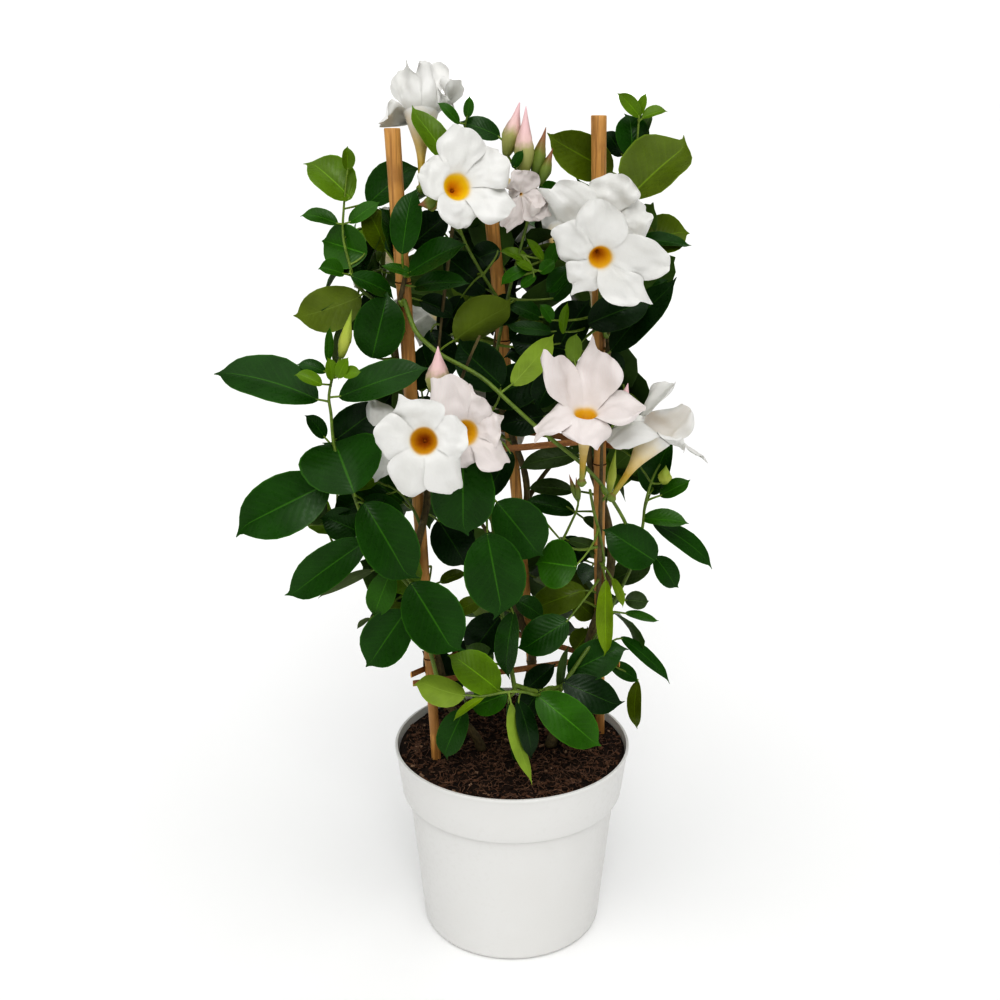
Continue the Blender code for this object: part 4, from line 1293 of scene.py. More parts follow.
# ---- crown fill ----
crown = {
    # each twig's end: how far from the others, how deep in its mass, and how often it's looked for
    "apart": 0.026, "depth": 0.004, "tries": 60, "twigFoot": 0.0011, "twigTip": 0.0009,
    "stalkRadii": (0.0013, 0.0010, 0.0009), "leafTries": 7,
    # least and greatest share across, back and up by which a twig bends and a leaf strays
    "bend": ((-0.1, 0.1), (-0.1, 0.1), (0.05, 0.2)), "stray": ((-0.4, 0.4), (-0.4, 0.4), (-0.6, 0.25)),
    "middle": 0.02,         # the crown's middle line stands this far behind the planter's
    "nodeStep": (0.024, 0.036), "leafLength": (0.056, 0.088), "slimness": (0.50, 0.62),
    "petiole": (0.007, 0.013), "caneRoom": 0.007, "flowerRoom": 0.042,
    # how far leaves may reach out of the masses, and above this height
    "outside": 0.007, "topRoom": -0.012, "topFrom": 0.74, "middleRoom": 0.004,
    # tones for deep and outer leaves; the near-black one paints shade, the blue-grey one paints sheen
    "inner": (("night", 0.66), ("dark", 0.30), ("grey", 0.04)),
    "outer": (("night", 0.16), ("dark", 0.46), ("mid", 0.24), ("fresh", 0.07), ("olive", 0.05),
              ("grey", 0.02)),
}


def massTree(name):
    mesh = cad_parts["leaves_" + name].data
    return BVHTree.FromPolygons([v.co.copy() for v in mesh.vertices],
                                [tuple(p.vertices) for p in mesh.polygons])


massTrees = {name: massTree(name) for _, masses in levels.values() for name in masses}


def outsideBy(name, point):
    # distance outside a mass, negative inside it
    spot, normal, _, gap = massTrees[name].find_nearest(point)
    return gap if (point - spot).dot(normal) > 0.0 else -gap


def outsideCrown(point):
    return min(outsideBy(name, point) for name in massTrees)


def blocksView(points):
    # true where a leaf would close an open gap or cover what shows in front
    for point in points:
        x, y = inPicture(point)
        for gapX, gapY, halfX, halfY in hiddenParts["gaps"]:
            if ((x - gapX) / halfX) ** 2 + ((y - gapY) / halfY) ** 2 < 1.0:
                return True
    return coversShown(points)


def coversShown(points):
    for point in points:
        x, y = inPicture(point)
        for startX, startY, stepX, stepY, reach, depth in coveredStrips:
            if point.y > depth:
                continue
            share = ((x - startX) * stepX + (y - startY) * stepY) / (stepX * stepX + stepY * stepY)
            share = min(max(share, 0.0), 1.0)
            if math.hypot(x - startX - stepX * share, y - startY - stepY * share) < reach:
                return True
    return False


def hitsCane(base, tip):
    for name in canes["soil"]:
        for k in range(7):
            point = base.lerp(tip, k / 6)
            if point.z > canes["top"][name][2] + 0.004:
                continue
            if (point - canePoint(name, point.z)).length < crown["caneRoom"]:
                return True
    return False


def pickTone(rng, depth):
    # leaves deep inside the crown take darker tones, mostly the near-black one that paints shade
    choice = crown["inner"] if rng.random() < smoothStep((depth - 0.008) / 0.03) else crown["outer"]
    return rng.choices([name for name, _ in choice], [weight for _, weight in choice])[0]


def drawVector(rng, *limits):
    return Vector([rng.uniform(*pair) for pair in limits])


def findTarget(name, chosen, rng):
    # where a twig ends: inside its mass, away from other ends and rather on the outer side
    low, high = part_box("leaves_" + name)
    centre = (low + high) / 2
    for _ in range(crown["tries"]):
        trial = drawVector(rng, *zip(low, high))
        if min(((trial - other).length for other in chosen), default=1.0) < crown["apart"]:
            continue
        if outsideBy(name, trial) < -crown["depth"]:
            outward = (trial - Vector((0.0, crown["middle"], trial.z))).normalized()
            outwardness = (trial - centre).dot(outward)
            if outwardness > rng.uniform(-0.05, 0.03):
                return trial
    return None


def growMass(name, shootCount, rng, tubes):
    made = 0
    chosen = []
    for _ in range(shootCount):
        target = findTarget(name, chosen, rng)
        if target is None:
            continue
        chosen.append(target)
        start, thick = min(
            limbs, key=lambda limb: (limb[0] - target).length + (0.03 if limb[0].z > target.z else 0.0)
            + max(0.0, 0.05 - (limb[0] - target).length) * 3.0)
        gap = (target - start).length
        bend = start.lerp(target, 0.5) + drawVector(rng, *crown["bend"]) * gap
        count = max(6, int(gap / 0.009))
        route = bowRoute(start, bend, target, count)
        if coversShown(route[2:]):
            continue
        grown, last = leafPairs(route, rng)
        if len(grown) < 2:
            continue
        route = route[:last + 1]
        foot = min(thick * 0.85, crown["twigFoot"] + gap * 0.008)
        radii = taperRadii(foot, crown["twigTip"], count)[:last + 1]
        tubes.append((route, radii))
        rememberLimb(route, radii)
        for node, base, tip, facing, width, tone, bends in grown:
            addLeaf(fewShape, base, tip, facing, width, tone, **bends)
            heading = (tip - base).normalized()
            petioles.append(([node, node.lerp(base, 0.5) + Vector((0.0, 0.0, -0.0008)),
                              base + heading * 0.0015], crown["stalkRadii"]))
        made += len(grown)
    return made


def leafPairs(route, rng):
    # opposite leaves at every node, each pair turned a quarter from the one before
    grown = []
    last = 0
    spin = rng.uniform(0.0, math.pi)
    walked = 0.0
    nextNode = rng.uniform(0.008, 0.022)
    total = sum((b - a).length for a, b in zip(route, route[1:]))
    for k, (before, after) in enumerate(zip(route, route[1:])):
        walked += (after - before).length
        if walked < nextNode and after is not route[-1]:
            continue
        nextNode = walked + rng.uniform(*crown["nodeStep"])
        along = (after - before).normalized()
        side = Matrix.Rotation(spin, 3, along) @ along.orthogonal().normalized()
        spin += math.pi / 2 + rng.uniform(-0.3, 0.3)
        size = 0.62 + 0.38 * smoothStep((total - walked) / 0.05 + 0.35)
        outward = Vector((after.x, after.y - crown["middle"], 0.0)).normalized()
        for way in (1.0, -1.0):
            for _ in range(crown["leafTries"]):
                heading = (side * way + along * rng.uniform(0.1, 0.8) + outward * rng.uniform(-0.1, 0.6)
                           + drawVector(rng, *crown["stray"])).normalized()
                length = rng.uniform(*crown["leafLength"]) * size
                base = after + heading * rng.uniform(*crown["petiole"])
                tip = base + heading * length
                if leafFits(base, tip):
                    break
            else:
                continue
            facing = (Vector((0.0, 0.0, rng.uniform(0.35, 1.0))) + outward * rng.uniform(0.3, 1.0)
                      + Vector((rng.uniform(-0.3, 0.3), rng.uniform(-0.3, 0.3), 0.0))).normalized()
            tone = pickTone(rng, -outsideCrown((base + tip) / 2))
            if total - walked < 0.02 and rng.random() < 0.3:
                tone = "fresh"
            bends = drawBends(rng, "behind")
            width = length * rng.uniform(*crown["slimness"])
            grown.append((after, base, tip, facing, width, tone, bends))
            last = k + 1
    return grown, last


def insideOutline(x, y):
    inside = False
    ends = hiddenParts["outline"]
    for (startX, startY), (endX, endY) in zip(ends, ends[1:] + ends[:1]):
        if (startY > y) != (endY > y):
            if x < startX + (y - startY) * (endX - startX) / (endY - startY):
                inside = not inside
    return inside


def leafFits(base, tip):
    startX, startY = inPicture(base)
    endX, endY = inPicture(tip)
    long = max(math.hypot(endX - startX, endY - startY), 1.0)
    offX = (endY - startY) / long * hiddenParts["outlineRoom"]
    offY = (startX - endX) / long * hiddenParts["outlineRoom"]
    middleX, middleY = (startX + endX) / 2, (startY + endY) / 2
    for x, y in ((startX, startY), (endX, endY), (middleX + offX, middleY + offY),
                 (middleX - offX, middleY - offY)):
        if not insideOutline(x, y):
            return False
    middle = (base + tip) / 2
    room = crown["outside"] if tip.z < crown["topFrom"] else crown["topRoom"]
    if outsideCrown(tip) > room or outsideCrown(middle) > min(room, crown["middleRoom"]):
        return False
    if tip.z < planter["height"] + 0.006 and math.hypot(tip.x, tip.y) > planter["rim"] - 0.012:
        return False
    if tip.z < planter["height"] - 0.002 or hitsCane(base, tip):
        return False
    for throat in farSpots:
        if min((middle - throat).length, (tip - throat).length) < crown["flowerRoom"]:
            return False
    return not blocksView((base, base.lerp(tip, 0.25), middle, base.lerp(tip, 0.75), tip))


def growCrown(rng):
    tubes = growShoots()
    placeShownLeaves(rng)
    growFlowers()
    growFarFlowers(rng)
    growBuds()
    total = sum(growMass(name, count, rng, tubes) for _, masses in levels.values()
                for name, count in masses.items())
    print("crown grown:", total, "leaves behind,", sum(len(g) for g in shownLeaves.values()), "shown")
    return tubes


def finishLeaves():
    materials = leafMaterials()
    for level, grown in leaves.items():
        piece = joinCopies("foliage_" + level, grown, materials, sharp=60)
        place(piece, "foliage", *["leaves_" + name for name in levels[level][1]])
    print("leaves joined:", sum(len(grown) for grown in leaves.values()))


def finishTwigs(tubes):
    young = grainMaterial("youngShoot", (0.085, 0.140, 0.018), (0.210, 0.300, 0.045), 0.42, 60.0, 500.0,
                          bump=0.2)
    shootPiece = curveTubes("shoots", tubes, 2)
    wearMaterials(shootPiece, young)
    place(shootPiece, "stem_bark")
    stalk = grainMaterial("leafStalk", (0.110, 0.180, 0.020), (0.260, 0.360, 0.055), 0.42, 60.0, 500.0,
                          bump=0.2)
    stalks = curveTubes("leafStalks", petioles, 1)
    wearMaterials(stalks, stalk)
    place(stalks, "foliage")
    print("shoots and stalks joined:", len(tubes), len(petioles))


# ---- flowers ----
blossom = {
    # place along a petal and half its width there
    "petalRows": ((-0.45, 0.20), (-0.20, 0.22), (0.0, 0.24), (0.10, 0.27), (0.21, 0.31), (0.32, 0.36),
                  (0.44, 0.42), (0.56, 0.47), (0.67, 0.50), (0.77, 0.50), (0.86, 0.47), (0.94, 0.40),
                  (1.0, 0.30)),
    "columns": 8, "corner": 0.13, "thickness": 0.010, "overlap": 1.10, "lining": 0.030, "narrowing": 2.0,
    "throat": 0.0108, "spikeWidth": 0.20, "joined": 0.36,
    "curl": 0.095, "rumple": 0.0065,    # radius a petal bends to sideways, and height of its rumples
    # distance behind the throat and radius
    "tube": ((0.066, 0.0021), (0.056, 0.0024), (0.046, 0.0028), (0.036, 0.0037), (0.028, 0.0052),
             (0.020, 0.0072), (0.013, 0.0090), (0.007, 0.0102), (0.003, 0.0110), (0.001, 0.0113)),
    "tubeSides": 30, "tubeWall": 0.0005, "stalk": 0.0016, "budStalk": 0.0014,
    # width and length of the small bud shapes at a tube's foot and in its throat
    "calyx": (0.0085, 0.011), "anthers": (0.0038, 0.006), "antherDepth": 0.0160,
    # place along a bud and its radius there
    "budRows": ((0.0, 0.18), (0.05, 0.27), (0.14, 0.37), (0.26, 0.46), (0.36, 0.49), (0.46, 0.46),
                (0.57, 0.37), (0.68, 0.26), (0.79, 0.165), (0.89, 0.09), (0.96, 0.045), (1.0, 0.012)),
    "cream": (0.70, 0.56, 0.29),
    # petal, its veins, and the upper and lower lining of its throat
    "tones": {
        "white": ((0.77, 0.765, 0.74), (0.70, 0.70, 0.66), (0.74, 0.42, 0.006), (0.60, 0.26, 0.003)),
        # a white flower whose throat lining is painted light, for a throat that faces the lamps
        "bright": ((0.77, 0.765, 0.74), (0.70, 0.70, 0.66), (0.80, 0.54, 0.004), (0.73, 0.33, 0.003)),
        # a white flower whose throat lining is painted shade, for a throat turned away from the lamps
        "amber": ((0.77, 0.765, 0.74), (0.70, 0.70, 0.66), (0.58, 0.295, 0.002), (0.38, 0.115, 0.001)),
        "blush": ((0.76, 0.705, 0.685), (0.78, 0.47, 0.50), (0.72, 0.41, 0.006), (0.52, 0.215, 0.002)),
    },
}

# Each flower: throat in the picture with its depth in millimetres, the way it looks, and tone.
# Its petals: outer end in the picture, width there, how far it lies behind the throat in
# millimetres, turn about its middle line in degrees, and length of its pointed corner.
flowers = {
    "top": {
        "throat": (421, 112, -14), "looks": (-0.01, 0.4, 0.91), "tone": "white", "crumple": 0.8,
        "joined": 0.66, "mouth": 1.3,
        "petals": (
            (380, 126, 38, -14, 30, 0.1), (402, 70, 42, -2, 16, 0.2), (427, 61, 54, 12, 0, 0.04),
            (450, 78, 48, 4, -2, 0.14), (450, 99, 36, -6, 0, 0.04)),
    },
    "upperLeft": {
        "throat": (457, 187, -92), "looks": (0.34, -0.86, 0.3), "tone": "bright", "crumple": 0.8,
        "petals": (
            (466, 128, 54, 6, 0, 0.12), (505, 156, 58, 12, -8, 0.1), (511, 212, 46, -4, 8, 0.1),
            (460, 229, 42, -6, 0, 0.1), (419, 170, 38, 2, 10, 0.03)),
    },
    "crumpled": {
        "throat": (521, 194, -56), "looks": (0.3, -0.8, -0.2), "tone": "blush", "crumple": 1.1,
        "mouth": 0.08, "joined": 0.15,
        "petals": (
            (527, 170, 40, -10, 20, 0.05), (545, 205, 34, -8, -30, 0.1), (543, 219, 30, -6, 20, 0.16),
            (503, 228, 28, 0, 30, 0.14), (508, 190, 26, 4, -20, 0.04)),
    },
    "upperRightBack": {
        "throat": (604, 226, -66), "looks": (-0.05, -0.9, 0.2), "tone": "white", "crumple": 0.9,
        "petals": (
            (553, 187, 42, 0, 10, 0.26), (620, 174, 60, 2, -8, 0.06), (650, 214, 52, 2, -6, 0.12),
            (640, 262, 40, 14, 0, 0.05), (570, 250, 40, 14, 0, 0.05)),
    },
    "upperRight": {
        "throat": (600, 257, -96), "looks": (0.12, -0.86, -0.22), "tone": "white", "crumple": 0.8,
        "mouth": 0.86,
        "petals": (
            (598, 199, 48, -14, 6, 0.03), (552, 233, 54, 6, -14, 0.04), (570, 284, 40, 0, 18, 0.3),
            (638, 304, 42, -4, -4, 0.3), (670, 263, 44, 2, 10, 0.02)),
    },
    "frontBehind": {
        "throat": (392, 438, -70), "looks": (-0.2, -0.85, 0.1), "tone": "white", "crumple": 0.8,
        "petals": (
            (371, 400, 24, 4, 20, 0.26), (369, 478, 32, 6, 0, 0.18), (380, 440, 20, 20, 60, 0.0),
            (420, 470, 34, 6, 0, 0.05), (430, 410, 34, 6, 0, 0.05)),
    },
    "frontBlush": {
        "throat": (466, 433, -104), "looks": (0.4, -0.86, 0.14), "tone": "blush", "crumple": 0.6,
        "petals": (
            (444, 376, 52, 2, 0, 0.14), (480, 396, 42, 2, 0, 0.36), (501, 428, 44, 4, -6, 0.3),
            (502, 466, 42, 4, 4, 0.24), (461, 468, 44, 0, 0, 0.22)),
    },
    "front": {
        "throat": (424, 441, -142), "looks": (0.0, -0.965, 0.26), "tone": "amber", "crumple": 0.5,
        "petals": (
            (415, 399, 58, 0, 0, 0.3), (374, 435, 52, 2, -10, 0.05), (403, 495, 50, 2, 8, 0.08),
            (455, 491, 50, 2, -6, 0.08), (468, 439, 50, 0, 22, 0.06)),
    },
    "rightUp": {
        "throat": (586, 414, -112), "looks": (0.02, -0.26, 0.96), "tone": "blush", "crumple": 0.6,
        "mouth": 0.85, "joined": 0.46,
        "petals": (
            (558, 356, 54, 6, 6, 0.26), (601, 351, 64, 12, -4, 0.22), (535, 432, 36, -10, 20, 0.18),
            (585, 445, 56, -26, 0, 0.16), (646, 408, 52, -8, 10, 0.04)),
    },
    "rightSide": {
        "throat": (655, 434, -66), "looks": (0.56, 0.2, 0.8), "tone": "white", "crumple": 0.6,
        "mouth": 1.45, "joined": 0.34,
        "petals": (
            (608, 443, 42, -26, 0, 0.04), (674, 383, 50, 2, 0, 0.03), (687, 406, 36, 18, 20, 0.04),
            (704, 458, 18, 2, 20, 0.26), (684, 443, 30, -18, 0, 0.05)),
    },
}

# Flowers on the other sides: place in metres, the way each looks, roll in degrees, tone.
farFlowers = {
    "backLeft": ((-0.075, 0.172, 0.590), (-0.20, 0.95, 0.20), 0, "white"),
    "backMiddle": ((-0.015, 0.170, 0.480), (0.05, 0.97, 0.05), 30, "blush"),
    "backTop": ((0.045, 0.146, 0.670), (0.15, 0.90, 0.25), 50, "white"),
    "leftSide": ((-0.125, 0.110, 0.655), (-0.66, 0.68, 0.20), 15, "white"),
    "rightSide": ((0.086, 0.122, 0.612), (0.66, 0.70, 0.20), 5, "white"),
}
farPetal = {"length": 0.043, "width": 0.040, "opening": 82.0, "spike": 0.14}

# Base and tip in the picture, width, depth in millimetres, tone.
buds = {
    "pinkLeft": (506, 156, 520, 101, 17, -46, "pink"),
    "pinkRight": (523, 178, 526, 106, 19, -54, "pink"),
    "greenLong": (534, 176, 546, 127, 13, -50, "young"),
    "greenShort": (540, 184, 553, 148, 12, -50, "young"),
    "limeLeft": (341, 358, 352, 309, 12, -80, "lime"),
    "pinkFront": (438, 398, 438, 346, 24, -82, "pink"),
    "pinkSliver": (620, 418, 628, 383, 16, -88, "pink"),
    "smallRight": (664, 484, 666, 465, 14, -2, "lime"),
    "sprigOne": (577, 500, 569, 474, 6, -32, "young"),
    "sprigTwo": (579, 500, 576, 477, 6, -34, "young"),
    "leftBack": (436, 202, 418, 205, 12, -62, "young"),
    "besideCane": (609, 494, 616, 448, 9, -34, "lime"),
}


# Name of the material, roughness, and the colour at each place along a tube or bud.
tubeStops = {
    "outer": ("tubeOutside", 0.45, (0.0, 0.26, 0.29, 0.05), (0.35, 0.50, 0.34, 0.05),
              (0.62, *blossom["cream"]), (1.0, 0.77, 0.765, 0.74)),
    "inner": ("tubeInside", 0.55, (0.0, 0.52, 0.215, 0.002), (0.55, 0.52, 0.215, 0.002),
              (0.82, 0.80, 0.34, 0.02), (1.0, 0.72, 0.41, 0.006)),
}
budStops = {
    "pink": ("pinkBud", 0.45, (0.0, 0.22, 0.26, 0.05), (0.38, 0.42, 0.42, 0.16), (0.55, 0.80, 0.58, 0.54),
             (1.0, 0.86, 0.57, 0.61)),
    "young": ("youngBud", 0.45, (0.0, 0.12, 0.19, 0.03), (0.45, 0.20, 0.26, 0.05),
              (0.75, 0.32, 0.16, 0.08), (1.0, 0.26, 0.10, 0.05)),
    "lime": ("limeBud", 0.42, (0.0, 0.24, 0.30, 0.04), (0.30, 0.45, 0.50, 0.09), (0.8, 0.38, 0.48, 0.07),
             (1.0, 0.16, 0.25, 0.03)),
    "anthers": ("anthers", 0.5, (0.0, 0.30, 0.09, 0.001), (0.6, 0.36, 0.12, 0.001),
                (1.0, 0.50, 0.22, 0.004)),
}


def modelPetal():
    columns = blossom["columns"]
    petal = startBlade(blossom["petalRows"], columns)
    for k in range(columns + 1):
        off = abs(2.0 * k / columns - 1.0)
        pickPoints(petal, lambda vert: vert.index % (columns + 1) == k)
        bpy.ops.transform.resize(value=(1.0, 1.0 - blossom["corner"] * off ** 2.5, 1.0),
                                 center_override=(0.0, 0.0, 0.0))
    endEdit()
    addModifier(petal, "SUBSURF", levels=1, render_levels=1)
    shape = thicken(petal, blossom["thickness"], material_offset_rim=1)
    cornerMap = shape["map"].reshape(-1, 2)
    shape["across"] = np.zeros(len(shape["points"]))
    shape["across"][shape["corners"]] = cornerMap[:, 0] * 2.0 - 1.0
    return shape


def modelTube():
    rows = blossom["tube"]
    tube = drawUp("tubeShape", [(radius, -behind) for behind, radius in rows], blossom["tubeSides"],
                  "NOTHING")
    endEdit()
    mendNormals(tube)
    addModifier(tube, "SUBSURF", levels=1, render_levels=1)
    shape = thicken(tube, blossom["tubeWall"])
    length = rows[0][0] - rows[-1][0]
    x, y, z = shape["points"][shape["corners"]].T
    along = (z + rows[0][0]) / length
    shape["map"] = np.stack([np.arctan2(y, x) / (2 * math.pi) + 0.5, along], axis=1).ravel()
    return shape


def modelBud():
    # a pointed bud of length 1 and width 1, fluted by its rolled petals
    rows = blossom["budRows"]
    route = [Vector((0.0, 0.0, along)) for along, _ in rows]
    shape = takeShape(drawOut("budShape", route, [half for _, half in rows], 20))
    points = shape["points"]
    angle = np.arctan2(points[:, 1], points[:, 0]) + points[:, 2] * 2.4
    flute = 1.0 + 0.12 * np.cos(angle * 5.0) * np.sin(points[:, 2] * math.pi)
    points[:, :2] *= flute[:, None]
    shape["map"] = np.stack([angle / 6.3, points[:, 2]], axis=1)[shape["corners"]].ravel()
    return shape


def unitRows(rows):
    return rows / np.linalg.norm(rows, axis=1)[:, None]


def petalLine(throat, axis, end, mouth):
    # start at the mouth, a point that bends the petal outward, and its end
    outward = end - throat
    outward = (outward - axis * outward.dot(axis)).normalized()
    base = throat + outward * blossom["throat"] * mouth
    reach = (end - base).length
    middle = base + (axis * 0.55 + outward * 0.62) * reach * 0.42
    return [np.array(point) for point in (base, middle, end)]


def alongPetal(line, share, throat, axis):
    # inside the tube the line follows its wall down from the mouth
    start, middle, last = line
    above = np.clip(share, 0.0, 1.25)[:, None]
    points = (1 - above) ** 2 * start + 2 * above * (1 - above) * middle + above ** 2 * last
    heading = (1 - above) * (middle - start) + above * (last - middle)
    below = np.clip(-share, 0.0, 1.0)[:, None]
    inward = start - throat
    points = points - axis * below * blossom["lining"] - inward * below * blossom["narrowing"]
    fromThroat = points - throat
    height = fromThroat @ axis
    radius = np.linalg.norm(fromThroat - height[:, None] * axis, axis=1)
    return points, unitRows(heading + 1e-9), height, radius


def openPetal(throat, axis, lines, spread, width, roll, spike, crumple, seed, joined):
    # neighbours share one surface near the throat, then every petal takes its own way
    throat, axis = np.array(throat), np.array(axis)
    x, y, z = (petalShape["points"][:, k] for k in range(3))
    across = petalShape["across"]
    corner = np.exp(-((across + 0.62) / blossom["spikeWidth"]) ** 2) * np.clip(y, 0.0, 1.2) ** 7
    y = y + corner * spike
    line, along, height, radius = alongPetal(lines[0], y, throat, axis)
    other = [alongPetal(lines[k], y, throat, axis) for k in (1, 2)]
    edge = np.abs(across)
    toNext = across > 0.0
    part = 0.5 * edge ** 2
    height = height * (1 - part) + part * np.where(toNext, other[1][2], other[0][2])
    radius = radius * (1 - part) + part * np.where(toNext, other[1][3], other[0][3])
    angle = across * np.where(toNext, spread[1], spread[0]) * blossom["overlap"]
    outward = lines[0][0] - throat
    outward = outward / np.linalg.norm(outward)
    around = np.cross(outward, axis)
    together = (throat + height[:, None] * axis
                + radius[:, None] * (np.cos(angle)[:, None] * outward + np.sin(angle)[:, None] * around))
    overlap = (across * 0.0008 - edge ** 3 * 0.0005) * np.clip(y * 5.0, 0.1, 1.0)
    together = together + axis * overlap[:, None]
    side = Vector(around)
    side = Matrix.Rotation(math.radians(roll), 3, Vector(lines[0][2] - lines[0][0]).normalized()) @ side
    sideRow = np.tile(np.array(side), (len(x), 1))
    sideRow = unitRows(sideRow - along * np.sum(sideRow * along, axis=1)[:, None])
    up = np.cross(sideRow, along)
    free = np.clip((y - joined) / (0.94 - joined), 0.0, 1.0)
    free = free * free * (3.0 - 2.0 * free)
    sideways = x * width - corner * spike * width * 0.35
    turn = np.clip(sideways / blossom["curl"], -1.4, 1.4)
    droop = np.clip(edge - 0.35, 0.0, 1.0) ** 1.6 * y * width * 0.42
    lift = blossom["curl"] * (1.0 - np.cos(turn)) - droop
    lift = lift + across * y * y * width * 0.13
    points = line + sideRow * sideways[:, None] + up * lift[:, None]
    points = together * (1.0 - free)[:, None] + points * free[:, None]
    rumple = np.array([noise.noise(Vector((a * 1.5, b * 2.3, seed * 7.1)))
                       + 0.45 * noise.noise(Vector((a * 3.8, b * 5.0, seed * 3.3)))
                       for a, b in zip(across, y)])
    lift = rumple * blossom["rumple"] * crumple * np.clip(y * 1.5 - 0.2, 0.0, 1.0)
    lift = lift + np.sin(y * 15.0 + seed * 5.0 + across * 2.0) * edge * width * 0.08 * crumple * free
    lift = lift + z * np.linalg.norm(lines[0][2] - lines[0][0])
    return points + up * lift[:, None]


def turnTo(direction, roll):
    turn = Vector(direction).to_track_quat("Z", "Y").to_matrix()
    return turn @ Matrix.Rotation(math.radians(roll), 3, "Z")


def growFlower(throat, axis, petals, tone, crumple, seed, mouth=1.0, joined=blossom["joined"]):
    slot = list(blossom["tones"]).index(tone) * 2
    lines = [petalLine(throat, axis, end, mouth) for end, _, _, _ in petals]
    reference = Vector(lines[0][0]) - throat
    turns = []
    for line in lines:
        outward = Vector(line[0]) - throat
        turn = math.atan2(axis.dot(reference.cross(outward)), reference.dot(outward))
        turns.append(turn % (2 * math.pi))
    order = sorted(range(len(petals)), key=lambda k: turns[k])
    for spot, k in enumerate(order):
        after, before = order[(spot + 1) % len(order)], order[spot - 1]
        spread = [(turns[second] - turns[first]) % (2 * math.pi) / 2
                  for first, second in ((k, after), (before, k))]
        _, width, roll, spike = petals[k]
        points = openPetal(throat, axis, (lines[k], lines[after], lines[before]), spread, width, roll,
                           spike, crumple, seed * 5 + k + 1, joined)
        grownPetals.append((petalShape, points, slot))
    turn = np.array(turnTo(axis, seed * 31))
    foot = throat - axis * blossom["tube"][0][0]
    narrow = 1.0 + (mouth - 1.0) * np.clip(1.0 + tubeShape["points"][:, 2:] / 0.04, 0.0, 1.0)
    tube = tubeShape["points"] * np.hstack((narrow, narrow, np.ones_like(narrow)))
    grownTubes.append((tubeShape, tube @ turn.T + np.array(throat), 0))
    growBud(*blossom["calyx"], turn, foot - axis * 0.004, "young")
    growBud(*[size * mouth for size in blossom["anthers"]], turn,
            throat - axis * blossom["antherDepth"], "anthers")
    stalkTo(foot - axis * 0.003, axis, blossom["stalk"])


def growBud(width, length, turn, foot, kind):
    points = budShape["points"] * np.array((width, width, length))
    grownBuds.append((budShape, points @ turn.T + np.array(foot), list(budStops).index(kind)))


def growFlowers():
    for seed, values in enumerate(flowers.values()):
        x, y, depth = values["throat"]
        throat = sightPoint(x, y, depth)
        petals = []
        for endX, endY, wide, behind, roll, spike in values["petals"]:
            end = sightPoint(endX, endY, depth + behind)
            petals.append((end, wide * pictureScale(end), roll, spike))
            coverStrip((x, y), (endX, endY), wide, throat.y + 0.006)
        growFlower(throat, Vector(values["looks"]).normalized(), petals, values["tone"],
                   values["crumple"], seed, values.get("mouth", 1.0),
                   values.get("joined", blossom["joined"]))
    print("flowers opened:", len(flowers))


def growFarFlowers(rng):
    for seed, (throat, looks, roll, tone) in enumerate(farFlowers.values()):
        throat = Vector(throat)
        axis = Vector(looks).normalized()
        turn = turnTo(axis, roll)
        petals = []
        for k in range(5):
            around = 2.0 * math.pi * k / 5 + rng.uniform(-0.1, 0.1)
            opening = math.radians(farPetal["opening"] + rng.uniform(-8.0, 8.0))
            outward = turn @ Vector((math.cos(around), math.sin(around), 0.0))
            end = throat + (outward * math.sin(opening) + axis * math.cos(opening)) * farPetal["length"]
            petals.append((end, farPetal["width"] * rng.uniform(0.92, 1.05), rng.uniform(-8, 8),
                           farPetal["spike"] * rng.uniform(0.5, 1.2)))
        growFlower(throat, axis, petals, tone, 0.8, seed + 20)
        farSpots.append(throat)
    print("flowers opened behind:", len(farFlowers))


def growBuds():
    for x, y, tipX, tipY, wide, depth, tone in buds.values():
        base = sightPoint(x, y, depth)
        tip = sightPoint(tipX, tipY, depth)
        looking = (tip - base).normalized()
        growBud(wide * pictureScale(base), (tip - base).length, np.array(turnTo(looking, x)), base, tone)
        stalkTo(base, looking, blossom["budStalk"])


grownPetals = []
grownTubes = []
grownBuds = []
farSpots = []


def petalMaterial(name, body, inner, lining=None):
    material, tree, shader = startMaterial(name, 0.50)
    veins = addGroup(tree, veinGroup, 9.0, -1.4).outputs["Veins"]
    mottle = addMottle(tree, 40.0, 700.0).outputs
    shade = tuple(c * s for c, s in zip(body, (0.93, 0.93, 0.915)))
    colour = mixColours(tree, times(tree, mottle["Broad"], 0.7), body, shade)
    colour = mixColours(tree, times(tree, veins, 0.10), colour, inner)
    if lining:
        along = addGroup(tree, alongGroup).outputs["Along"]
        where = mathNode(tree, "ADD", along, times(tree, mottle["Broad"], -0.03))
        for start, end, share, tone in ((0.14, 0.27, 0.5, blossom["cream"]), (0.12, 0.205, 1.0, lining[0]),
                                        (0.0, 0.12, 1.0, lining[1])):
            colour = mixColours(tree, rangeNode(tree, where, start, end, share, 0.0), colour, tone)
    relief = mathNode(tree, "ADD", times(tree, veins, -0.4), mottle["Fine"])
    dress(tree, shader, colour, mottle["Fine"], (0.44, 0.60), relief, 0.18, 0.0003)
    return material


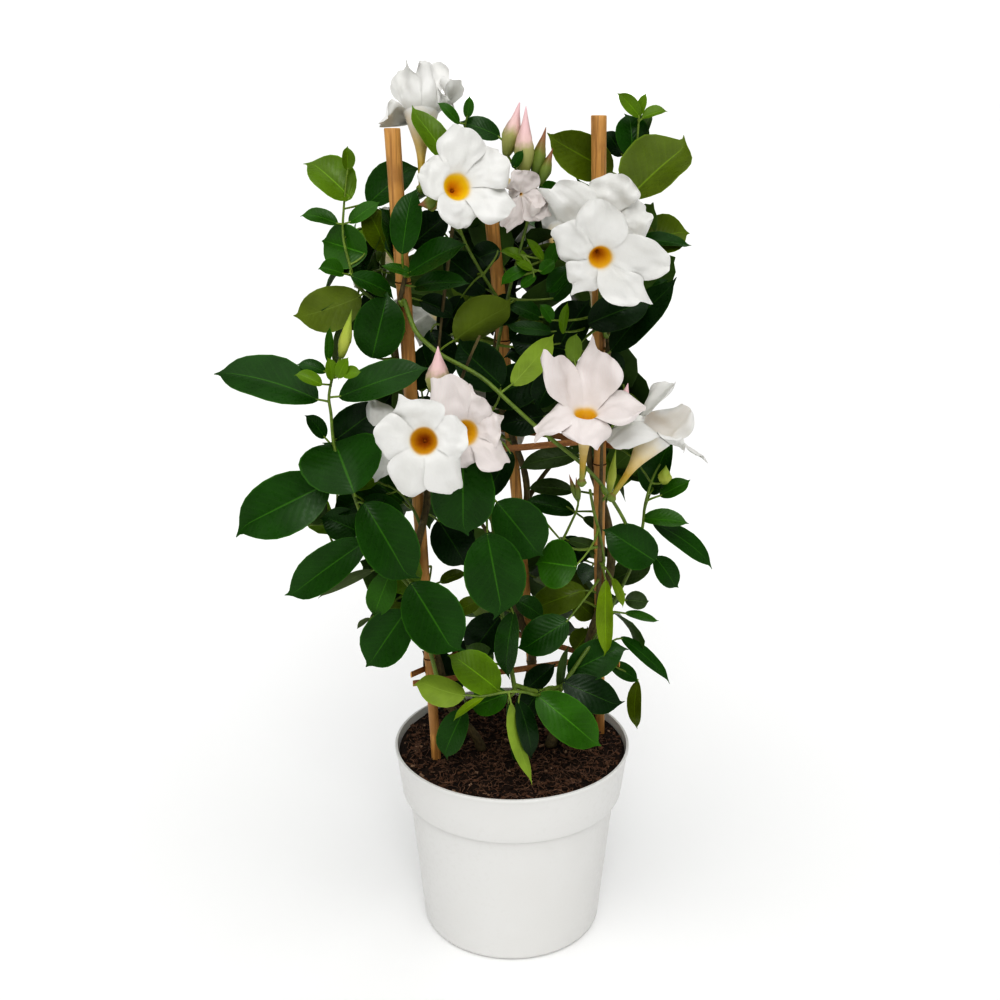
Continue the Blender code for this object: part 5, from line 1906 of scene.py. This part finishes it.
def alongMaterial(name, roughness, *stops):
    # a colour for each place along a tube or bud, broken up by fine patches
    material, tree, shader = startMaterial(name, roughness)
    along = addGroup(tree, alongGroup).outputs["Along"]
    mottle = addMottle(tree, 90.0, 700.0).outputs
    shift = times(tree, mathNode(tree, "SUBTRACT", mottle["Broad"], 0.5), 0.10)
    shifted = mathNode(tree, "ADD", along, shift)
    ramp = addNode(tree, "ShaderNodeValToRGB")
    tree.links.new(shifted, ramp.inputs["Fac"])
    while len(ramp.color_ramp.elements) < len(stops):
        ramp.color_ramp.elements.new(0.5)
    for element, (where, *colour) in zip(ramp.color_ramp.elements, stops):
        element.position = where
        element.color = (*colour, 1.0)
    dress(tree, shader, ramp.outputs["Color"], mottle["Fine"], (roughness - 0.06, roughness + 0.1),
          mottle["Fine"], 0.15, 0.0003)
    return material


def finishFlowers():
    kinds = []
    for name, (body, veins, *lining) in blossom["tones"].items():
        kinds.append(petalMaterial(name + "Petal", body, veins, lining))
        kinds.append(petalMaterial(name + "PetalBack", body, veins))
    place(joinCopies("petals", grownPetals, kinds, sharp=60), "blossom")
    sides = [alongMaterial(*values) for values in tubeStops.values()]
    place(joinCopies("flowerTubes", grownTubes, sides, sharp=60), "blossom")
    kinds = [alongMaterial(*values) for values in budStops.values()]
    place(joinCopies("buds", grownBuds, kinds), "blossom")
    print("flowers joined")


# ---- studio ----
studio = {
    "floor": 400.0, "floorTone": (0.955, 0.955, 0.95), "backdrop": 1.0, "sky": 0.275,
    # turn in degrees, angle across and strength of each soft lamp
    "lamps": {"overhead": ((20.0, -3.0, 0.0), 80.0, 1.22), "front": ((51.0, 0.0, 1.5), 26.0, 0.52),
              "behind": ((-48.0, 20.0, 0.0), 30.0, 0.16)},
    "look": "High Contrast",
}


def makeStudio():
    clearSelection()
    bpy.ops.mesh.primitive_plane_add(size=studio["floor"], location=(0.0, 0.0, 0.0))
    floor = bpy.context.object
    floor.name = "studioFloor"
    material, _, shader = startMaterial("studioFloor", 0.9)
    shader.inputs["Base Color"].default_value = (*studio["floorTone"], 1.0)
    wearMaterials(floor, material)
    makeSky()
    for name, (turn, angle, strength) in studio["lamps"].items():
        bpy.ops.object.light_add(type="SUN", location=(0.0, 0.0, 3.0))
        lamp = bpy.context.object
        lamp.name = name + "Lamp"
        lamp.rotation_euler = [math.radians(degrees) for degrees in turn]
        lamp.data.angle = math.radians(angle)
        lamp.data.energy = strength
    bpy.context.scene.view_settings.view_transform = "Standard"
    bpy.context.scene.view_settings.look = studio["look"]
    print("studio lit")


def makeSky():
    # the backdrop shows white, and lights the plant less than it shows
    world = bpy.data.worlds.new("studioSky")
    bpy.context.scene.world = world
    world.use_nodes = True
    tree = world.node_tree
    backdrop = tree.nodes["Background"]
    backdrop.inputs["Color"].default_value = (1.0, 1.0, 1.0, 1.0)
    seen = addNode(tree, "ShaderNodeLightPath")
    tree.links.new(rangeNode(tree, seen.outputs["Is Camera Ray"], 0.0, 1.0, studio["sky"],
                             studio["backdrop"]), backdrop.inputs["Strength"])


makeCamera()
makeStudio()
makePlanter()
makeCompost()
makeChips(random.Random(7))
makeCanes()
makeRungs()
bark = barkMaterial()
makeStems(bark)
makeBoughs(bark)
leafShape = modelLeaf(leafBlade["rows"], leafBlade["columns"])
fewShape = modelLeaf(leafBlade["fewRows"], leafBlade["fewColumns"])
petalShape = modelPetal()
tubeShape = modelTube()
budShape = modelBud()
twigTubes = growCrown(random.Random(11))
finishLeaves()
finishTwigs(twigTubes)
finishFlowers()
for spare in [m for m in bpy.data.materials if not m.use_nodes]:
    bpy.data.materials.remove(spare)
